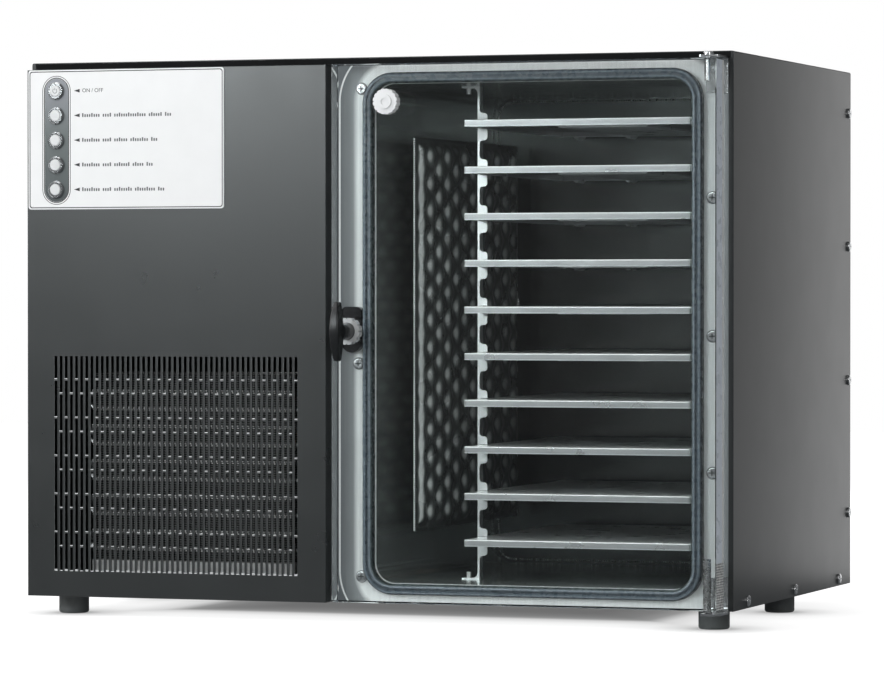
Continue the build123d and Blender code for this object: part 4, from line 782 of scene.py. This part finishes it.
bm = bmesh.new()
painted_highlight = bm.verts.layers.float.new("painted_highlight")
sheets = []
for side in (1, -1):
    rows = []
    for i in range(steps_y + 1):
        y = y0 + (y1 - y0) * i / steps_y
        column = []
        for j in range(steps_z + 1):
            z = z0 + (z1 - z0) * j / steps_z
            vert = bm.verts.new((mid_x + side * cushion(y, z), y, z))
            # painted highlight: how steeply the plate's face turns towards the door is stored for the
            # material
            slope = (cushion(y + MM, z) - cushion(y - MM, z)) / (2 * MM)
            vert[painted_highlight] = min(1.0, max(0.0, slope / steep))
            column.append(vert)
        rows.append(column)
    for i in range(steps_y):
        for j in range(steps_z):
            bm.faces.new((rows[i][j], rows[i + 1][j], rows[i + 1][j + 1], rows[i][j + 1]))
    sheets.append(rows)
rim_path = [(i, 0) for i in range(steps_y)] + [(steps_y, j) for j in range(steps_z)]
rim_path += [(i, steps_z) for i in range(steps_y, 0, -1)] + [(0, j) for j in range(steps_z, 0, -1)]
skin(bm, *([rows[i][j] for i, j in rim_path] for rows in sheets))

# four standoffs to the chamber's wall
standoff_r = 4 * MM
for y in (y0 + 130 * MM, y0 + 293 * MM):
    for z in (z0 + 34 * MM, z0 + 363 * MM):
        spigot(bm, (ice_low.x, mid_x), y, z, standoff_r, 20)

# sockets on its back for the ends of the two pipes
socket_r = 7 * MM
socket_len = 6 * MM
back_x = mid_x - plate_t / 2
for pipe, pipe_r in (("suction_pipe", 4 * MM), ("injection_pipe", 3 * MM)):
    pipe_low, pipe_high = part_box(pipe)
    end = spigot(bm, (back_x - socket_len, mid_x), pipe_high.y - pipe_r, pipe_low.z + pipe_r, socket_r, 28)
    bm.faces.new(end)
cold_plate = mesh_piece("cold_plate", bm, finish["ice_steel"], "cabinet", True)
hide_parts("ice_condenser")

# ---------------------------------------------------------------- welds

# stitch-like weld beads along the cold plate's front edge
stitch_pitch = 2.3 * MM
stitch_size = (1.15 * MM, 0.5 * MM, 0.95 * MM)
bm = bmesh.new()
for k in range(int((z1 - z0) / stitch_pitch)):
    bead(bm, (mid_x, y0 - 0.1 * MM, z0 + (k + 0.5) * stitch_pitch), stitch_size, 2)
mesh_piece("plate_weld", bm, weld_and_edge_highlight, "cabinet", True)

# stitched weld outline where the chamber's rear wall meets its sides
rear_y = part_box("chamber_back_plate")[0].y
weld_inset = SEAL_W + 3.0 * MM
weld_r = 17.0 * MM
weld_pitch = 2.6 * MM
seal_mid = centre(seal_box)
outline = rounded(
    seal_mid.x,
    seal_mid.z,
    seal_box[1].x - seal_box[0].x - 2 * weld_inset,
    seal_box[1].z - seal_box[0].z - 2 * weld_inset,
    weld_r,
    12,
)
points = []
for (xa, za), (xb, zb) in zip(outline, outline[1:] + outline[:1]):
    length = ((xb - xa) ** 2 + (zb - za) ** 2) ** 0.5
    parts = max(1, round(length / weld_pitch))
    points += [(xa + (xb - xa) * k / parts, za + (zb - za) * k / parts) for k in range(parts)]
bm = bmesh.new()
for k, (x, z) in enumerate(points):
    size = (1.0 + 0.6 * sin(k * 2.3) * sin(k * 0.37)) * MM
    bead(bm, (x, rear_y, z), (size, 0.5 * MM, size), 1)
mesh_piece("rear_weld", bm, weld_and_edge_highlight, "cabinet", True)

# ---------------------------------------------------------------- trim, painted shadow and painted highlights on the hood, the door and the shelves

# painted shadow: a thin dark film along the hood's front edge, above the fascia, where the fold lies in
# shade
fascia_low, fascia_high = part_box("front_fascia")
bm = bmesh.new()
brick(
    bm,
    (hood_low.x + 4 * MM, hood_high.x - 3 * MM),
    (hood_low.y - 0.04 * MM, hood_low.y),
    (fascia_high.z + 0.3 * MM, hood_high.z - 0.9 * MM),
)
mesh_piece("hood_painted_shadow", bm, painted_shadow_black, "cabinet")

# satin sawn edges of the acrylic door, left clear beside the lower hinge stud
door_low, door_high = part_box("door_plate")
film_t = 0.03 * MM
bevel = 1.0 * MM
clear_top = door_low.z + 46.0 * MM
corner_y = door_high.y - 6.5 * MM
depth = (door_low.y + bevel, door_high.y - bevel)
tall = (door_low.z + bevel, door_high.z - bevel)
across = (door_low.x + bevel, door_high.x - bevel)
side_x = (door_high.x, door_high.x + film_t)
bm = bmesh.new()
brick(bm, side_x, (depth[0], corner_y), (clear_top, tall[1]))
brick(bm, across, depth, (door_high.z, door_high.z + film_t))
mesh_piece("door_edges", bm, acrylic_edge, "door")

# painted highlight: a white film on the rear corner of the door's right edge
bm = bmesh.new()
brick(bm, side_x, (corner_y, depth[1]), (clear_top, tall[1]))
mesh_piece("door_corner_highlight", bm, edge_highlight_white, "door")

# painted refraction: a picture of the lower stud's thread, as it shows through that edge, on a film over it
bm = bmesh.new()
brick(bm, side_x, (depth[0] + bevel, depth[1]), (tall[0], clear_top))
mesh_piece("painted_stud_view", bm, painted_stud_image, "door")

# painted shade in the drive recesses of the flange's screws, and a painted shadow line under their heads
flange_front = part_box("chamber_flange")[0].y
pin_x = centre(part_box("hinge_pin_bottom")).x
left_places = ((365.5 * MM, 27.0 * MM), (362.5 * MM, 241.0 * MM), (365.5 * MM, 516.5 * MM))
right_rises = (135.7 * MM, 269.4 * MM, 404.9 * MM)
screw_at = [(hood_low.x + x, hood_low.z + z) for x, z in left_places]
screw_at += [(pin_x, hood_low.z + z) for z in right_rises]
head_r = 5.5 * MM
head_t = 2.6 * MM
shadow_line_w = 0.7 * MM
shadow_line_t = 0.15 * MM
drive_len = 5.9 * MM
drive_w = 1.2 * MM
drive_y = (flange_front - head_t + 0.5 * MM, flange_front - head_t + 1.2 * MM)
bm = bmesh.new()
for x, z in screw_at:
    line_out, line_in = (
        rounded(x, z, 2 * r, 2 * r, r - 0.01 * MM, 8) for r in (head_r + shadow_line_w, head_r)
    )
    slab(bm, (flange_front - shadow_line_t, flange_front), line_out, line_in)
    for w, h in ((drive_len, drive_w), (drive_w, drive_len)):
        slab(bm, drive_y, rounded(x, z, w, h, 0.2 * MM, 2))
mesh_piece("screw_painted_shade", bm, ink_and_shade_grey, "cabinet")

# painted highlight: a bright film on the front edge of each shelf's heater cover
cover_x = (87.7 * MM, 180.7 * MM)
cover_y = 36.0 * MM
cover_drop = (7.9 * MM, 7.1 * MM)
bm = bmesh.new()
for number in range(1, 11):
    shelf_low, shelf_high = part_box("shelf_%02d" % number)
    edge_y = shelf_low.y + cover_y
    brick(
        bm,
        [shelf_low.x + x for x in cover_x],
        (edge_y - 0.1 * MM, edge_y),
        [shelf_high.z - drop for drop in cover_drop],
    )
mesh_piece("heater_edge_highlights", bm, weld_and_edge_highlight, "cabinet")

# ---------------------------------------------------------------- finned coil behind the grille

coil_low, coil_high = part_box("condenser_coil")
tube_r = 4.75 * MM
row_pitch = 18.05 * MM
first_row = 47.1 * MM
fin_x = (hood_low.x + 54 * MM, hood_low.x + 276 * MM)
fin_y = (coil_low.y + 2 * MM, coil_high.y - 2 * MM)
fin_t = 0.35 * MM
fin_pitch = 2.875 * MM
frame_z = (hood_low.z + 22.4 * MM, hood_low.z + 35.8 * MM)
frame_leg = 14 * MM
header_x = coil_high.x - 6 * MM
header_r = 5 * MM
header_end = 6 * MM
stub_r = 4 * MM
bank_y = (fin_y[0] + 11 * MM, fin_y[0] + 33 * MM)
row_z = [hood_low.z + first_row + row_pitch * n for n in range(10)]
fin_places = [fin_x[0] + k * fin_pitch for k in range(int((fin_x[1] - fin_x[0]) / fin_pitch) + 1)]

bm = bmesh.new()
for x in fin_places:
    brick(bm, (x, x + fin_t), fin_y, (frame_z[1], coil_high.z))
coil_fins = mesh_piece("coil_fins", bm, fin_painted_ridges, "cabinet")

# pressed collars that stand at the fins' front edges, two steps at every tube
collar_w = 1.6 * MM
collar_h = 1.2 * MM
collar_steps = ((1.2 * MM, -0.9 * MM), (-0.8 * MM, -0.1 * MM))
collar_y = (fin_y[0] - 0.4 * MM, fin_y[0])
bm = bmesh.new()
for x in fin_places:
    for z in row_z:
        for lift, side in collar_steps:
            brick(bm, (x + side, x + side + collar_w), collar_y, (z + lift, z + lift + collar_h))
coil_collars = mesh_piece("coil_collars", bm, zinc_bright, "cabinet")

# two banks of hairpin tubes, joined by headers at their first and last rows
bm = bmesh.new()
for y in bank_y:
    path = []
    for n, z in enumerate(row_z):
        ends = fin_x if n % 2 else fin_x[::-1]
        path += [Vector((x, y, z)) for x in ends]
        if n + 1 < len(row_z):
            swing = 1 if n % 2 else -1
            for k in range(1, 8):
                a = pi * k / 8
                bend = Vector((swing * sin(a), 0, -cos(a))) * row_pitch / 2
                path.append(Vector((ends[1], y, z + row_pitch / 2)) + bend)
    hose(bm, path, tube_r)
for z in (row_z[0], row_z[-1]):
    header_y = (bank_y[0] - header_end, bank_y[1] + header_end)
    hose(bm, [Vector((header_x, y, z)) for y in header_y], header_r)
    for y in bank_y:
        hose(bm, [Vector((x, y, z)) for x in (fin_x[1], header_x)], stub_r)
coil_tubes = mesh_piece("coil_tubes", bm, coil_tube, "cabinet", True)

bm = bmesh.new()
brick(bm, fin_x, (coil_low.y, coil_high.y), frame_z)
for x in (fin_x[0], fin_x[1] - frame_leg):
    brick(bm, (x, x + frame_leg), fin_y, (coil_low.z, frame_z[0]))
coil_frame = mesh_piece("coil_frame", bm, zinc_bright, "cabinet")
for piece in (coil_fins, coil_collars, coil_tubes, coil_frame):
    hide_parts("condenser_coil")

# ---------------------------------------------------------------- painted highlights on the cut edges of the grille's slots

slot_w = 3.2 * MM
slot_pitch = 5.75 * MM
slot_count = 47
first_slot_x = hood_low.x + 31.6 * MM
slot_low = hood_low.z + 27.0 * MM
slot_high = hood_low.z + 247.0 * MM
bridge_h = 2.2 * MM
bridge_pitch = 39.2 * MM
first_bridge = (22.9 * MM, 37.4 * MM)
sill_h = 0.8 * MM
head_h = 0.4 * MM
side_w = 0.25 * MM
cut_y = (fascia_low.y - 0.02 * MM, fascia_low.y + 0.6 * MM)
# painted highlights: bright films on the sills that face up, dim films under the bridges and along the
# slots' left sides
sills = bmesh.new()
heads = bmesh.new()
for n in range(slot_count):
    x = first_slot_x + slot_pitch * n
    wide = (x - slot_w / 2, x + slot_w / 2)
    top = slot_high - first_bridge[n % 2]
    while top > slot_low:
        brick(sills, wide, cut_y, (top - sill_h, top))
        brick(heads, wide, cut_y, (top - bridge_h, top - bridge_h + head_h))
        top -= bridge_pitch
    brick(sills, wide, cut_y, (slot_low - sill_h, slot_low))
    brick(heads, (wide[0] - side_w, wide[0]), cut_y, (slot_low, slot_high))
mesh_piece("slot_sill_highlights", sills, sill_highlight, "cabinet")
mesh_piece("slot_head_highlights", heads, head_dim_highlight, "cabinet")

# ---------------------------------------------------------------- stage, lamps, camera

scene = bpy.context.scene


def stage_white(name, footprint, feet):
    """White sweep: lit by the lamps, with a painted shadow under the object and round each foot, and dark in
    mirror-like reflections.
    """
    m = Finish(name)
    m.tree.nodes.remove(m.shader)
    away = m.math("ADD", m.math("MULTIPLY", m.outside(footprint, "XY", 20 * MM), 2.0), 0.5)
    # painted shadow: the floor's glow, as the camera sees it, drops under the object's footprint
    shades = [(0.1, 0.15), (0.2, 0.2), (0.25, 0.28), (0.3, 0.66), (0.38, 0.88), (0.55, 0.95), (0.75, 1.0)]
    light = m.ramp(away, [(place, grey(level)) for place, level in shades])
    # painted shadow round each foot
    foot_shades = [(0.0, grey(0.45)), (0.12, grey(0.7)), (0.4, grey(0.93)), (0.8, grey(1.0))]
    for foot in feet:
        near = m.math("MULTIPLY", m.outside(foot, "XY", FOOT_R), 8.0)
        light = m.times(light, m.ramp(near, foot_shades))
    view = m.new("AddShader")
    m.link(m.surface("Emission", light), view.inputs[0])
    m.link(m.surface("BsdfDiffuse", grey(0.3)), view.inputs[1])
    lit = m.surface("BsdfDiffuse", grey(0.8))
    dark = m.surface("Emission", (0.09, 0.095, 0.1))
    mirror = m.mixed(m.light_path("Is Glossy Ray"), lit, dark)
    m.link(m.mixed(m.seen_within(0.5), mirror, view.outputs["Shader"]), m.out)
    return m.mat


bm = bmesh.new()
bmesh.ops.create_grid(bm, x_segments=1, y_segments=1, size=6.0)
mesh = bpy.data.meshes.new("stage_floor")
bm.to_mesh(mesh)
bm.free()
feet = [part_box("foot_" + place) for place in ("front_left", "front_right", "rear_left", "rear_right")]
mesh.materials.append(stage_white("stage_white", (hood_low, hood_high), feet))
floor = bpy.data.objects.new("stage_floor", mesh)
scene.collection.objects.link(floor)

# white where it is seen, and a dim grey room, darker at the back, where it lights and reflects
world = bpy.data.worlds.new("studio")
scene.world = world
world.use_nodes = True
world.node_tree.nodes.clear()
sky = Graph(world.node_tree, "Generated")
room_grey = (0.12, 0.123, 0.126)
back_grey = (0.05, 0.052, 0.053)
room = sky.ramp(
    sky.between(sky.along("Y"), -1.0, 1.0),
    [(0.0, room_grey), (0.45, room_grey), (1.0, back_grey)],
)
backdrop = sky.mixed(
    sky.seen_within(1.5),
    sky.surface("Background", room),
    sky.surface("Background", grey(1.0)),
)
sky.link(backdrop, sky.new("OutputWorld").inputs["Surface"])


def lamp(name, place, target, size, power, colour=(1, 1, 1)):
    """A soft rectangular lamp that the camera doesn't see."""
    data = bpy.data.lights.new(name, "AREA")
    data.shape = "RECTANGLE"
    data.size, data.size_y = size
    data.energy = power
    data.color = colour
    obj = bpy.data.objects.new(name, data)
    scene.collection.objects.link(obj)
    obj.location = place
    obj.rotation_euler = (Vector(target) - Vector(place)).to_track_quat("-Z", "Y").to_euler()
    obj.visible_camera = False


cool_white = (0.92, 0.98, 1.0)
lamp("key_top", (-0.7, -1.2, 2.2), (0.0, 0.0, 0.3), (2.6, 2.0), 27)
lamp("soft_front", (-0.75, -2.9, 1.35), (0.0, -0.2, 0.45), (1.3, 0.6), 7, cool_white)
lamp("fascia_glow", (-1.3, -2.9, 0.95), (-0.1, -0.2, 0.5), (0.4, 0.4), 9.5, cool_white)
lamp("fill_left", (-2.6, -1.6, 1.3), (0.0, 0.0, 0.25), (1.6, 1.8), 30)
lamp("fill_right", (1.9, -2.6, 1.1), (0.1, -0.2, 0.3), (0.7, 1.2), 14)
lamp("fill_back", (-0.8, 2.6, 1.3), (0.0, 0.2, 0.3), (1.4, 1.4), 30)
lamp("side_rear", (0.47, 0.62, 0.3), (0.42, 0.0, 0.35), (0.15, 0.8), 0.4)

camera_data = bpy.data.cameras.new("camera")
camera_data.sensor_width = 36.0
camera_data.lens = 182.14
camera = bpy.data.objects.new("camera", camera_data)
scene.collection.objects.link(camera)
camera.location = (1.55566, -4.4222, 0.33095)
yaw = 0.3381
pitch = 0.0119
look = Vector((-sin(yaw) * cos(pitch), cos(yaw) * cos(pitch), -sin(pitch)))
camera.rotation_euler = look.to_track_quat("-Z", "Y").to_euler()
scene.camera = camera

scene.view_settings.view_transform = "Standard"
